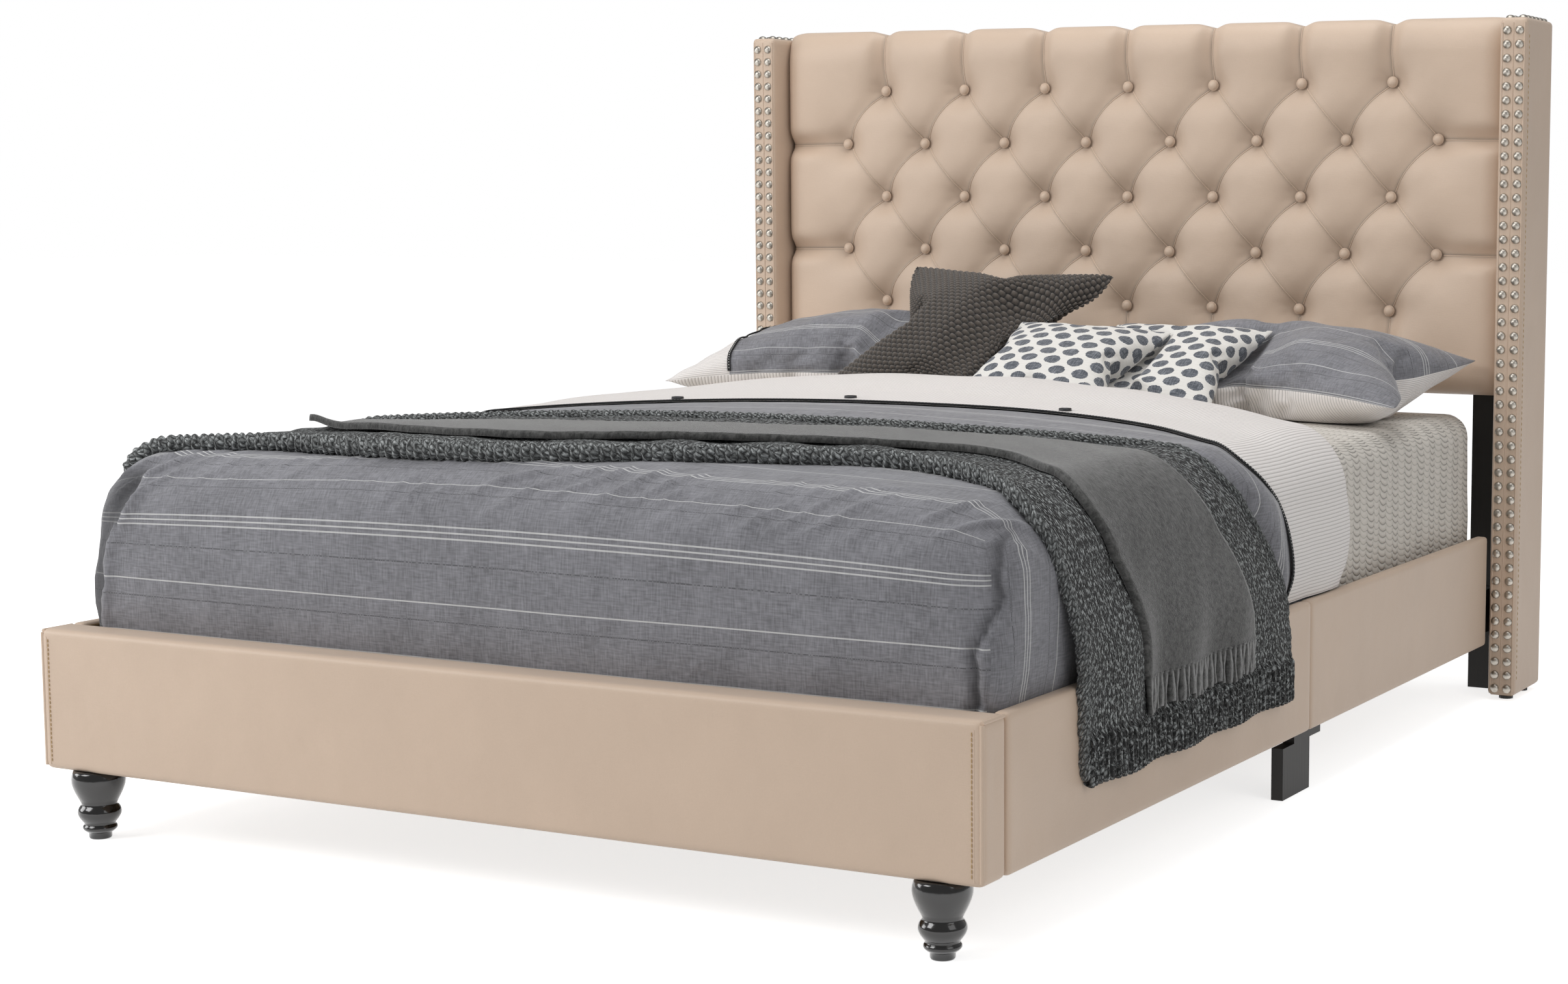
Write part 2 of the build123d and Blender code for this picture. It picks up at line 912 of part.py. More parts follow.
def duvet_runs(grow, inset):
    """Arcs of the duvet's section on the +X side, as start, middle and end (x, z)."""
    side = duvet_side + grow - inset * duvet_inset_side_share
    centre_x = side - grow - duvet_corner_radius
    centre_z = duvet_flank_top - inset
    top = centre_z + duvet_corner_radius + grow
    reach = (duvet_corner_radius + grow) * cos(radians(45))
    corner = ((centre_x, top), (centre_x + reach, centre_z + reach), (side, centre_z))
    bulge = (side + duvet_bulge, (centre_z + duvet_lip) / 2)
    flank = ((side, centre_z), bulge, (duvet_tuck + grow - inset * duvet_inset_side_share, duvet_lip))
    crown = ((-centre_x, top), (0, top + duvet_crown), (centre_x, top))
    return crown, corner, flank


def arcs_at(y, runs):
    return [ThreePointArc(*[(x, y, z) for x, z in run]) for run in runs]


def mirrored_runs(runs):
    return [tuple((-x, z) for x, z in run) for run in runs]


def duvet_section(y, inset):
    crown, corner, flank = duvet_runs(0, inset)
    end_x = flank[-1][0]
    tail = Polyline(
        (end_x, y, duvet_lip), (end_x, y, tuck_bottom), (-end_x, y, tuck_bottom), (-end_x, y, duvet_lip)
    )
    return make_face(arcs_at(y, [crown, corner, flank] + mirrored_runs([corner, flank])) + [tail])


def across(points):
    """Prism through the whole width from an outline of (y, z) points."""
    profile = Face(Wire.make_polygon([(-wing_outer, y, z) for y, z in points]))
    return extrude(profile, amount=bed_width, dir=(1, 0, 0))


def head_edge_cut():
    """What lies past the duvet's head edge, which runs forward down the sides."""
    edge = foot_face + duvet_head_edge
    low = edge - duvet_head_slant
    return across([
        (edge, wing_top),
        (edge, duvet_flank_top),
        (low, frame_top),
        (low, 0),
        (half_length, 0),
        (half_length, wing_top),
    ])


def duvet():
    """Thick cover over the foot end, rounded down behind the footboard."""
    sections = [
        duvet_section(footboard_back + duvet_foot_round * place, duvet_foot_inset * inset)
        for place, inset in duvet_foot_level_shares
    ]
    rounded = loft(sections, ruled=True)
    run = duvet_head_edge - footboard_thickness - duvet_foot_round
    straight = extrude(sections[-1], amount=run, dir=(0, 1, 0))
    return rounded + straight - covered_mattress() - head_edge_cut()


def shell_section(y, inner, outer, runs_of):
    """Section of a layer over the duvet between two offsets, closed at its ends."""
    near, far = runs_of(inner), runs_of(outer)
    ends = [
        Line((side * near[-1][-1][0], y, near[-1][-1][1]), (side * far[-1][-1][0], y, far[-1][-1][1]))
        for side in (-1, 1)
    ]
    edges = arcs_at(y, near + mirrored_runs(near[1:]) + far + mirrored_runs(far[1:]))
    return make_face(edges + ends)


def over_flanks(grow):
    return list(duvet_runs(grow, 0))


def over_corners(grow):
    return list(duvet_runs(grow, 0)[:2])


def duvet_band():
    """The duvet's head end turned back over itself, flared forward at the sides."""
    start = foot_face + band_side_edge
    face = shell_section(start, 0, band_thickness, over_flanks)
    band = extrude(face, amount=duvet_head_edge - band_side_edge, dir=(0, 1, 0))
    wide = duvet_side + overrun
    flare = duvet_side * band_flare_share
    front = start - overrun
    corner = foot_face + band_corner_edge
    edge = foot_face + band_top_edge
    outline = [(-wide, front), (-wide, corner), (-flare, edge), (flare, edge), (wide, corner), (wide, front)]
    top_cut = Face(Wire.make_polygon([(x, y, duvet_flank_top) for x, y in outline]))
    band -= extrude(top_cut, amount=duvet_flank_top, dir=(0, 0, 1))
    band -= across([
        (front, duvet_flank_top),
        (corner, duvet_flank_top),
        (start, duvet_lip),
        (front, duvet_lip),
    ])
    return band - head_edge_cut()


# Throws


def hanging_section(x, z, depth, thickness, first, folds):
    """Level slice through a hanging cloth whose folds swing out and back."""
    edges = []
    for layer in (0, thickness):
        base = x + layer
        for fold in range(first, first + folds):
            start = foot_face + knit_front + fold * fold_width
            swing = depth if fold % 2 else 0
            edges.append(ThreePointArc(
                (base + depth / 2, start, z),
                (base + swing, start + fold_width / 2, z),
                (base + depth / 2, start + fold_width, z),
            ))
    for fold in (first, first + folds):
        y = foot_face + knit_front + fold * fold_width
        edges.append(Line((x + depth / 2, y, z), (x + depth / 2 + thickness, y, z)))
    return make_face(edges)


def throw(lift, thickness, first, folds, hem):
    """Folded throw across the bed that hangs over the rail on the +X side."""
    start = foot_face + knit_front + first * fold_width
    face = shell_section(start, lift, lift + thickness, over_corners)
    across_bed = extrude(face, amount=folds * fold_width, dir=(0, 1, 0))
    clear_x = rail_outer + throw_rail_clearance + lift
    levels = ((duvet_side + lift, duvet_flank_top), (clear_x, frame_top + overrun), (clear_x, hem))
    slices = [
        hanging_section(x, z, fold_depth * share, thickness, first, folds)
        for (x, z), share in zip(levels, fold_level_shares)
    ]
    return across_bed + loft(slices, ruled=True)


def knit_throw():
    return throw(seat_gap, knit_thickness, 0, knit_fold_count, knit_hem)


def felt_throw():
    lift = seat_gap + knit_thickness + seat_gap
    return throw(lift, felt_thickness, felt_start_count, felt_fold_count, felt_hem)


# Pillows and cushions


def stuffed(width, depth, thickness, draw):
    """Knife-edged cushion: a seam with drawn-in sides under a crowned top and bottom."""
    rings = []
    for rise, size, pull in stuffed_level_shares:
        w, d, z = width / 2 * size, depth / 2 * size, thickness / 2 * rise
        bow = draw * pull
        sides = [
            ThreePointArc((-w, -d, z), (0, -d - bow, z), (w, -d, z)),
            ThreePointArc((w, -d, z), (w + bow, 0, z), (w, d, z)),
            ThreePointArc((w, d, z), (0, d + bow, z), (-w, d, z)),
            ThreePointArc((-w, d, z), (-w - bow, 0, z), (-w, -d, z)),
        ]
        rings.append(Face(Wire.make_polygon(chorded(sides, seam_chord_shares)[:-1])))
    upper = loft(rings, ruled=True)
    return upper + mirror(upper, about=Plane.XY)


def above(place, size, depth):
    """Space over a plane that lies a given depth under a cushion's seam."""
    return place * Pos(0, 0, size / 2 - depth) * Box(size, size, size)


def below_cover():
    """Space under the top of the coverlet."""
    return span((-wing_outer, wing_outer), (foot_face, half_length), (0, cover_top + seat_gap))


def leaning(centre_x, head_reach, size, tilt):
    """Place of a cushion that stands on the coverlet and leans to the head."""
    rise = cover_top + cushion_seam_height + size / 2 * sin(radians(tilt))
    y = puff_front - head_reach + size / 2 * cos(radians(tilt))
    return Pos(centre_x, y, rise) * Rot(tilt, 0, 0)


def cushion_places():
    """Place, size and depth of the flat back of each small cushion, front first."""
    dotted = [
        (leaning(x, reach, dotted_size, dotted_tilt_angle), dotted_size, dotted_thickness)
        for x, reach in zip(dotted_centre_x, dotted_head_reach)
    ]
    charcoal = leaning(charcoal_centre_x, charcoal_head_reach, charcoal_size, charcoal_tilt_angle)
    return dotted + [(charcoal, charcoal_size, charcoal_thickness)]


def small_cushion(index):
    """Square cushion with a flat back, dented by the cushions in front of it."""
    places = cushion_places()
    place, size, thickness = places[index]
    body = stuffed(size, size, thickness, cushion_draw)
    back = thickness * cushion_back_share
    body -= Pos(0, 0, -back - thickness / 2) * Box(size + overrun, size + overrun, thickness)
    body = place * body - below_cover()
    for other, other_size, other_thickness in places[:index]:
        body -= above(other, other_size, other_thickness * cushion_back_share + seat_gap)
    return body


def bed_pillow(side):
    """Full-size pillow that lies against the headboard under the small cushions."""
    reach = pillow_depth / 2 * cos(radians(pillow_tilt_angle))
    x = side * (pillow_gap + pillow_width) / 2
    y = puff_front - pillow_head_clearance - reach
    body = stuffed(pillow_width, pillow_depth, pillow_thickness, pillow_draw)
    body = Pos(x, y, cover_top + pillow_seam_rise) * Rot(pillow_tilt_angle, 0, 0) * body - below_cover()
    for place, size, thickness in cushion_places():
        body -= above(place, size, thickness * cushion_back_share + seat_gap)
    return body


# The pieces and their node names


def frame_pieces():
    rails = rail_runs()
    beams = centre_beam_runs()
    return {
        "tufted_pad": tufted_pad(),
        "panel_buttons": panel_buttons(),
        "panel_board": panel_board(),
        "headboard_top_rail": frame_member(board_top - frame_member_height),
        "headboard_bottom_rail": frame_member(panel_bottom),
        "headboard_centre_stile": centre_stile(),
        "headboard_lower_rail": lower_rail(),
        "headboard_back_panel": back_panel(),
        "right_post": post(),
        "left_post": other_side(post()),
        "right_wing_core": wing_core(),
        "left_wing_core": other_side(wing_core()),
        "right_wing_cover": wing_cover(),
        "left_wing_cover": other_side(wing_cover()),
        "nailheads": nailheads(),
        "wing_glides": wing_glides(),
        "wing_bolts": wing_bolts(),
        "footboard_core": footboard_core(),
        "footboard_cover": footboard_cover(),
        "right_foot": foot_places()[0] * foot(),
        "left_foot": foot_places()[1] * foot(),
        "foot_bolts": foot_bolts(),
        "right_front_rail_core": rail_core(rails["front"]),
        "left_front_rail_core": other_side(rail_core(rails["front"])),
        "right_rear_rail_core": rail_core(rails["rear"]),
        "left_rear_rail_core": other_side(rail_core(rails["rear"])),
        "right_front_rail_cover": rail_cover(rails["front"]),
        "left_front_rail_cover": other_side(rail_cover(rails["front"])),
        "right_rear_rail_cover": rail_cover(rails["rear"]),
        "left_rear_rail_cover": other_side(rail_cover(rails["rear"])),
        "right_cleats": cleats(),
        "left_cleats": other_side(cleats()),
        "slats": slats(),
        "cross_beam": cross_beam(),
        "front_centre_beam": centre_beam(beams["front"]),
        "rear_centre_beam": centre_beam(beams["rear"]),
        "beam_hangers": beam_hangers(),
        "beam_splice": beam_splice(),
        "centre_legs": centre_legs(),
        "leg_glides": leg_glides(),
        "right_side_leg": side_leg(),
        "left_side_leg": other_side(side_leg()),
        "side_leg_bolts": side_leg_bolts(),
        "foot_brackets": foot_brackets(),
        "head_brackets": head_brackets(),
        "splice_plates": splice_plates(),
        "fitting_bolts": fitting_bolts(),
    }


def bedding_pieces():
    return {
        "mattress": mattress(),
        "coverlet": coverlet(),
        "duvet": duvet(),
        "duvet_band": duvet_band(),
        "knit_throw": knit_throw(),
        "felt_throw": felt_throw(),
        "right_bed_pillow": bed_pillow(1),
        "left_bed_pillow": bed_pillow(-1),
        "front_dotted_cushion": small_cushion(0),
        "rear_dotted_cushion": small_cushion(1),
        "charcoal_cushion": small_cushion(2),
    }


os.makedirs("parts", exist_ok=True)
for name, piece in (frame_pieces() | bedding_pieces()).items():
    export_step(piece, f"parts/{name}.step")
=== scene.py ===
import json
import math

import bmesh
import bpy
import numpy as np
from mathutils import Euler, Matrix, Vector


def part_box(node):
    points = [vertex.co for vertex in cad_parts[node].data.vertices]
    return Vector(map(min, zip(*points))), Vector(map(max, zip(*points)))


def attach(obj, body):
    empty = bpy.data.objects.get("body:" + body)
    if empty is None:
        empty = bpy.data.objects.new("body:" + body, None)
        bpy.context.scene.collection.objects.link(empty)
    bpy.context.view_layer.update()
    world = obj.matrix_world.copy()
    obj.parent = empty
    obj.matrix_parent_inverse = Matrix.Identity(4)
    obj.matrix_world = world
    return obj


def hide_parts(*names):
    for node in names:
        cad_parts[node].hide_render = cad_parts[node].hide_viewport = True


bl_info = {
    "name": "Wingback bed",
    "version": (1, 0, 0),
    "blender": (4, 5, 0),
    "location": "View3D > Sidebar > Bed",
    "description": "Upholstery, timber, steel and bedding for a buttoned wingback bed",
    "category": "Object",
}

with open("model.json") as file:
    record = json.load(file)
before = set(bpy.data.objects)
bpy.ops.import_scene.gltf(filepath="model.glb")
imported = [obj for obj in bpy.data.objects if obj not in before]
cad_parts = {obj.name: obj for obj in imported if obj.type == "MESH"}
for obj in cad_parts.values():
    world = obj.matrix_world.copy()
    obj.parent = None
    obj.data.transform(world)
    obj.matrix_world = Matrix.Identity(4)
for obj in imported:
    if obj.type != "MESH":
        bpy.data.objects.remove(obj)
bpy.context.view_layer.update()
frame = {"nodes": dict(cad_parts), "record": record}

FRAME = "frame"
BEDDING = "bedding"
FOOT_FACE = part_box("footboard_cover")[0][1]
# The duvet's half width, the height of its top at the sides, and the radius of its long edges.
HALF, TOP, TURN = 0.786, 0.572, 0.09
# How far the duvet runs round each long edge, and the height of the band's ends at its sides.
AROUND, LIP = TURN * math.pi / 2, 0.322
# How far the band runs over the duvet from end to end, the share across it that lies flat before its
# rear edge turns under, and how far short of that edge the turn starts.
BAND_RUN, BAND_FLAT, BAND_TURN = 2 * (HALF - TURN + AROUND + TOP - TURN - LIP), 0.8, 0.014
# The lowest that a pillow or cushion lies on the coverlet.
COVERLET_TOP = 0.5572


def linear(code):
    """sRGB hex colour as the linear RGBA that shaders work in."""
    parts = [int(code[place : place + 2], 16) / 255 for place in (0, 2, 4)]
    return tuple(c / 12.92 if c <= 0.04045 else ((c + 0.055) / 1.055) ** 2.4 for c in parts) + (1.0,)


def colour_of(name, code, words):
    """A colour that the user can change."""
    return bpy.props.FloatVectorProperty(
        name=name, description=words, subtype="COLOR", size=4, min=0, max=1, default=linear(code)
    )


def length_of(name, value, words):
    """A length that the user can change."""
    return bpy.props.FloatProperty(name=name, description=words, default=value, min=0, unit="LENGTH")


class BedSizes(bpy.types.PropertyGroup):
    """Sizes of the trim and the soft parts."""

    button_radius: length_of("Button radius", 0.0101, "Radius of the covered buttons")
    nail_radius: length_of("Nail radius", 0.0088, "Radius of the domed nails")
    puff_height: length_of("Puff height", 0.042, "How far the padding swells between the buttons")
    stitch_pitch: length_of("Stitch pitch", 0.0065, "Length of one stitch and its gap")
    duvet_crumple: length_of("Duvet crumple", 0.0045, "Depth of the duvet's soft wrinkles")
    knit_stitch: length_of("Knit stitch", 0.0105, "Width of one column of the knitted throw")
    bobble: length_of("Bobble", 0.0108, "Spacing of the bobbles on the dark cushion")
    dot_pitch: length_of("Dot pitch", 0.047, "Spacing of the dots on the small cushions")


class BedColours(bpy.types.PropertyGroup):
    """Colours of the finishes."""

    leatherette: colour_of("Leatherette", "D3BCA7", "Warm beige cover of the frame")
    thread: colour_of("Thread", "B79A6F", "Stitching thread")
    nail: colour_of("Nails", "B3ADA4", "Antique pewter nails")
    lacquer: colour_of("Lacquer", "0D0B0A", "Black lacquer of the feet")
    paint: colour_of("Paint", "161412", "Black paint of the posts and legs")
    chambray: colour_of("Chambray", "7E7E83", "Duvet and pillow cloth")
    cream: colour_of("Cream cotton", "ECE7E4", "Turned-back band and pillow undersides")
    coverlet: colour_of("Coverlet", "DAD4CB", "Quilted coverlet")
    knit: colour_of("Knitted throw", "4A4C4C", "Chunky throw")
    felt: colour_of("Felt throw", "4A4A49", "Felted wool throw")
    charcoal: colour_of("Dark cushion", "564E47", "Bobble-knit cushion")
    dots: colour_of("Dots", "4C5159", "Dots of the small cushions")
    timber: colour_of("Timber", "C9A77C", "Bare pine and plywood")


def sizes():
    return bpy.context.scene.bed_sizes


def colours():
    return bpy.context.scene.bed_colours


# Shader nodes


def add(tree, kind, sockets=(), **settings):
    """Adds a shader node. Each input is a number, a colour, a socket, or a node for its first output."""
    made = tree.nodes.new("ShaderNode" + kind)
    for key, value in settings.items():
        setattr(made, key, value)
    named = sockets if isinstance(sockets, dict) else dict(enumerate(sockets))
    for socket, value in named.items():
        if isinstance(value, bpy.types.Node):
            value = next(output for output in value.outputs if output.enabled)
        if isinstance(value, bpy.types.NodeSocket):
            tree.links.new(value, made.inputs[socket])
        else:
            made.inputs[socket].default_value = value
    return made


def new_material(name):
    """An empty material and its node tree."""
    material = bpy.data.materials.new(name)
    material.use_nodes = True
    material.node_tree.nodes.clear()
    material.diffuse_color = (0.6, 0.6, 0.6, 1)
    return material, material.node_tree


def finished(material, tone, bump=None, **constants):
    """The material, once its shader has its colour, its bump and the numbers that are the same all over."""
    sockets = {key.replace("_", " "): value for key, value in constants.items()}
    sockets["Base Color"] = tone
    if bump is not None:
        sockets["Normal"] = bump
    shader = add(material.node_tree, "BsdfPrincipled", sockets)
    add(material.node_tree, "OutputMaterial", {"Surface": shader})
    return material


def shade(colour, factor):
    """A colour made lighter or darker."""
    return tuple(min(1.0, part * factor) for part in colour[:3]) + (1.0,)


def varied(tree, factor, colour, low, high):
    """A colour that goes from one shade of itself to another with a factor of 0 to 1."""
    return add(tree, "Mix", {0: factor, 6: shade(colour, low), 7: shade(colour, high)}, data_type="RGBA")


def tinted(tree, tone, mask, strength, colour):
    """The tone, turned towards a colour where a mask of 0 to 1 is high."""
    factor = add(tree, "Math", (mask, strength), operation="MULTIPLY")
    return add(tree, "Mix", {0: factor, 6: tone, 7: colour}, data_type="RGBA")


def cells_per_metre(millimetres):
    """Noise scale whose patches are about that wide."""
    return 1000 / millimetres


def drawn_out(tree, where, scale, detail=1.0):
    """Noise drawn out to fibres or threads, by its patches per metre along each axis."""
    stretched = add(tree, "Mapping", {"Vector": where, "Scale": scale})
    return add(tree, "TexNoise", {"Vector": stretched, "Scale": 1.0, "Detail": detail})


def weave(tree, flat, pitch):
    """Warp and weft of a plain weave: two crossed sets of uneven threads, as wide as pitch in metres."""
    warp = drawn_out(tree, flat, (1 / pitch, 0.12 / pitch, 1))
    weft = drawn_out(tree, flat, (0.12 / pitch, 1 / pitch, 1))
    return warp, weft


def stripes(tree, coordinate, places, width):
    """1 on thin lines at places along a coordinate in metres, else 0."""
    total = None
    for place in places:
        line = add(tree, "Math", (coordinate, place, width / 2), operation="COMPARE")
        total = line if total is None else add(tree, "Math", (total, line), operation="MAXIMUM")
    return total


def grained(name, grain, detail, depth, dark, light=None, **constants):
    """A material with one fine grain, so many millimetres wide, in its colour and as relief that deep."""
    material, tree = new_material(name)
    where = add(tree, "TexCoord").outputs["Object"]
    noise = add(tree, "TexNoise", {"Vector": where, "Scale": cells_per_metre(grain), "Detail": detail})
    tone = dark if light is None else add(tree, "Mix", {0: noise, 6: dark, 7: light}, data_type="RGBA")
    bump = add(tree, "Bump", {"Height": noise, "Distance": depth})
    return finished(material, tone, bump, **constants)


def leatherette():
    """Polyurethane leatherette, embossed with a linen grain: satin, with soft broad highlights."""
    colour = tuple(colours().leatherette)
    material, tree = new_material("leatherette_linen_grain")
    where = add(tree, "TexCoord").outputs["Object"]
    cloud = add(tree, "TexNoise", {"Vector": where, "Scale": cells_per_metre(160), "Detail": 3.0})
    fleck = add(tree, "TexNoise", {"Vector": where, "Scale": cells_per_metre(2.2), "Detail": 2.0})
    tone = varied(tree, cloud, colour, 0.93, 1.06)
    tone = tinted(tree, tone, fleck, 0.3, shade(colour, 0.8))
    # Painted shade from the mark: the pad's creases and dimples, and the thin shadow cords in its pleats.
    pleat_shade = add(tree, "Attribute", attribute_name="pleat_shade").outputs["Fac"]
    tone = add(tree, "Mix", {0: pleat_shade, 6: tone, 7: shade(colour, 0.42)}, data_type="RGBA")
    # The linen emboss has threads of 1.2 mm, drawn at 1.8 mm so that they show.
    warp = drawn_out(tree, where, (560, 560, 90))
    weft = drawn_out(tree, where, (90, 90, 560))
    threads = add(tree, "Math", (warp, weft), operation="ADD")
    slack = add(tree, "TexNoise", {"Vector": where, "Scale": cells_per_metre(70), "Detail": 2.0})
    loose = add(tree, "Bump", {"Height": slack, "Distance": 0.0022})
    bump = add(tree, "Bump", {"Height": threads, "Distance": 0.00012, "Normal": loose})
    return finished(material, tone, bump, Roughness=0.5, IOR=1.5, Sheen_Weight=0.12)


def thread():
    """Bonded polyester thread: waxed and slightly shiny."""
    material = new_material("polyester_thread")[0]
    return finished(material, tuple(colours().thread), Roughness=0.45)


def pewter():
    """Plated steel nails, tumbled to an antique pewter: dull metal with darker hollows."""
    dark, light = (shade(tuple(colours().nail), factor) for factor in (0.72, 1.3))
    return grained("antique_pewter_steel", 8, 3.0, 0.0003, dark, light, Metallic=1.0, Roughness=0.36)


def lacquer():
    """Beech turned and sprayed with black gloss lacquer: mirror-like highlights, faint orange peel."""
    gloss = {"Roughness": 0.16, "Coat_Weight": 0.6, "Coat_Roughness": 0.08}
    return grained("black_gloss_lacquer", 7, 1.0, 0.00025, tuple(colours().lacquer), **gloss)


def painted_wood():
    """Rubberwood boards in matt black paint: the grain shows through as fine ridges."""
    colour = tuple(colours().paint)
    material, tree = new_material("matt_black_paint")
    # The grain is 4 mm wide and 110 mm long.
    grain = drawn_out(tree, add(tree, "TexCoord").outputs["Object"], (260, 260, 9), 3.0)
    tone = varied(tree, grain, colour, 0.8, 1.5)
    return finished(material, tone, add(tree, "Bump", {"Height": grain, "Distance": 0.0003}), Roughness=0.55)


def bare_wood(name, tint, along):
    """Planed pine or poplar: pale, with darker growth rings along the board and a dry sheen."""
    colour = shade(tuple(colours().timber), tint)
    material, tree = new_material(name)
    where = add(tree, "TexCoord").outputs["Object"]
    # The rings wander by 50 mm across the board and 830 mm along it. The pores are 1.4 mm by 83 mm.
    board, fibre = [14.0, 14.0, 14.0], [700.0, 700.0, 700.0]
    board[along], fibre[along] = 0.8, 12.0
    stretched = add(tree, "Mapping", {"Vector": where, "Scale": board})
    drift = add(tree, "TexNoise", {"Vector": stretched, "Scale": 1.5, "Detail": 3.0})
    drift = add(tree, "Math", (drift, 14.0), operation="MULTIPLY")
    rings = add(tree, "Math", (drift, 1.0), operation="PINGPONG")
    pores = drawn_out(tree, where, fibre, 2.0)
    tone = varied(tree, rings, colour, 1.05, 0.72)
    tone = tinted(tree, tone, pores, 0.35, shade(colour, 0.6))
    return finished(material, tone, add(tree, "Bump", {"Height": pores, "Distance": 0.0002}), Roughness=0.62)


def dust_cloth():
    """Black non-woven cloth stapled over hardboard: a felted web of short fibres."""
    dark, light = linear("141414"), linear("2B2B2A")
    return grained("black_nonwoven_cloth", 3, 4.0, 0.0004, dark, light, Roughness=0.9, Sheen_Weight=0.3)


def moulded_nylon():
    """Black nylon, injection moulded with a fine spark texture."""
    dark, light = linear("101010"), linear("1D1D1D")
    return grained("moulded_black_nylon", 1.5, 2.0, 0.00015, dark, light, Roughness=0.48)


def zinc():
    """Zinc-plated steel: bright, slightly blue and spangled."""
    material, tree = new_material("zinc_plated_steel")
    where = add(tree, "TexCoord").outputs["Object"]
    spangle = add(tree, "TexVoronoi", {"Vector": where, "Scale": cells_per_metre(4)}).outputs["Distance"]
    tone = add(tree, "Mix", {0: spangle, 6: linear("A9ADB2"), 7: linear("8B8E92")}, data_type="RGBA")
    return finished(material, tone, Metallic=1.0, Roughness=0.32)


def powder_coat():
    """Pressed steel with black polyester powder coat: even and finely pebbled."""
    dark, light = linear("131313"), linear("1E1E1E")
    return grained("black_powder_coat", 1.2, 1.0, 0.0002, dark, light, Roughness=0.5)


def plain_finish(name, code, roughness, grain):
    """A small trim finish in one colour, moulded or spun with a grain so many millimetres wide."""
    dark, light = (shade(linear(code), factor) for factor in (0.75, 1.3))
    return grained(name, grain, 2.0, 0.0003, dark, light, Roughness=roughness)


def ticking():
    """Woven damask mattress ticking: off-white, with a raised diamond quilting."""
    material, tree = new_material("mattress_ticking")
    flat = add(tree, "SeparateXYZ", {0: add(tree, "UVMap", uv_map="cloth")})
    waves = []
    # The diamonds are 95 mm from ridge to ridge.
    for way in ("ADD", "SUBTRACT"):
        slope = add(tree, "Math", (flat.outputs[0], flat.outputs[1]), operation=way)
        slope = add(tree, "Math", (slope, 33.0), operation="MULTIPLY")
        slope = add(tree, "Math", (slope,), operation="SINE")
        waves.append(add(tree, "Math", (slope,), operation="ABSOLUTE"))
    quilt = add(tree, "Math", waves, operation="MULTIPLY")
    quilt = add(tree, "Math", (quilt, 0.4), operation="POWER")
    # The hollows of the quilting are painted in a darker shade.
    tone = add(tree, "Mix", {0: quilt, 6: linear("C9C6BF"), 7: linear("EAE7E1")}, data_type="RGBA")
    bump = add(tree, "Bump", {"Height": quilt, "Distance": 0.006})
    return finished(material, tone, bump, Roughness=0.85, Sheen_Weight=0.2)


def chambray():
    """Cotton chambray: grey warp over white weft, with woven white pinstripes and dark slub lines."""
    colour = tuple(colours().chambray)
    material, tree = new_material("cotton_chambray_pinstripe")
    flat = add(tree, "UVMap", uv_map="cloth")
    # The yarns are 0.4 mm apart, drawn at 2.5 mm so that the heathered look shows.
    warp, weft = weave(tree, flat, 0.0025)
    heather = add(tree, "Math", (warp, weft), operation="ADD")
    heather = add(tree, "Math", (heather, 0.5), operation="MULTIPLY")
    cloud = add(tree, "TexNoise", {"Vector": flat, "Scale": cells_per_metre(90), "Detail": 2.0})
    cloud = add(tree, "Math", (cloud, 0.5), operation="SUBTRACT")
    cloud = add(tree, "Math", (cloud, 0.35), operation="MULTIPLY")
    heather = add(tree, "Math", (heather, cloud), operation="ADD")
    contrast = add(tree, "MapRange", {0: heather, 1: 0.3, 2: 0.7})
    tone = varied(tree, contrast, colour, 0.68, 1.32)
    # The stripes repeat every 171 mm.
    along = add(tree, "SeparateXYZ", {0: flat}).outputs[1]
    run = add(tree, "Math", (along, 0.171, 0.0), operation="WRAP")
    dark = stripes(tree, run, (0.054, 0.15), 0.0018)
    dash = add(tree, "Math", (warp, 0.47), operation="GREATER_THAN")
    slub = add(tree, "Math", (dark, dash), operation="MULTIPLY")
    tone = tinted(tree, tone, slub, 0.65, shade(colour, 0.22))
    white = stripes(tree, run, (0.0045, 0.0827, 0.0895, 0.0963), 0.0019)
    tone = tinted(tree, tone, white, 0.58, linear("E6E6E4"))
    # Painted shadow in the duvet's corner folds, where the mark asks for it.
    tuck = add(tree, "Attribute", attribute_name="pleat_shade").outputs["Fac"]
    tone = add(tree, "Mix", {0: tuck, 6: tone, 7: shade(colour, 0.12)}, data_type="RGBA")
    rumple = {"Vector": flat, "Scale": cells_per_metre(45), "Detail": 3.0, "Distortion": 0.6}
    creased = add(tree, "Bump", {"Height": add(tree, "TexNoise", rumple), "Distance": 0.0035})
    bump = add(tree, "Bump", {"Height": heather, "Distance": 0.0005, "Normal": creased})
    return finished(material, tone, bump, Roughness=0.88, Sheen_Weight=0.25, Sheen_Roughness=0.4)


def ribbed_cotton():
    """Cream cotton with a fine woven rib and grey hairlines along it."""
    colour = tuple(colours().cream)
    material, tree = new_material("ribbed_cream_cotton")
    flat = add(tree, "UVMap", uv_map="cloth")
    across = add(tree, "SeparateXYZ", {0: flat}).outputs[0]
    # Hairlines 6 mm apart.
    rib = add(tree, "Math", (across, math.pi / 0.006), operation="MULTIPLY")
    rib = add(tree, "Math", (rib,), operation="SINE")
    rib = add(tree, "Math", (rib,), operation="ABSOLUTE")
    hair = add(tree, "MapRange", {0: rib, 1: 0.5, 2: 0.12})
    warp = weave(tree, flat, 0.002)[0]
    tone = varied(tree, warp, colour, 0.98, 1.08)
    tone = tinted(tree, tone, hair, 0.55, linear("8C8784"))
    bump = add(tree, "Bump", {"Height": rib, "Distance": 0.0008})
    return finished(material, tone, bump, Roughness=0.86, Sheen_Weight=0.2)


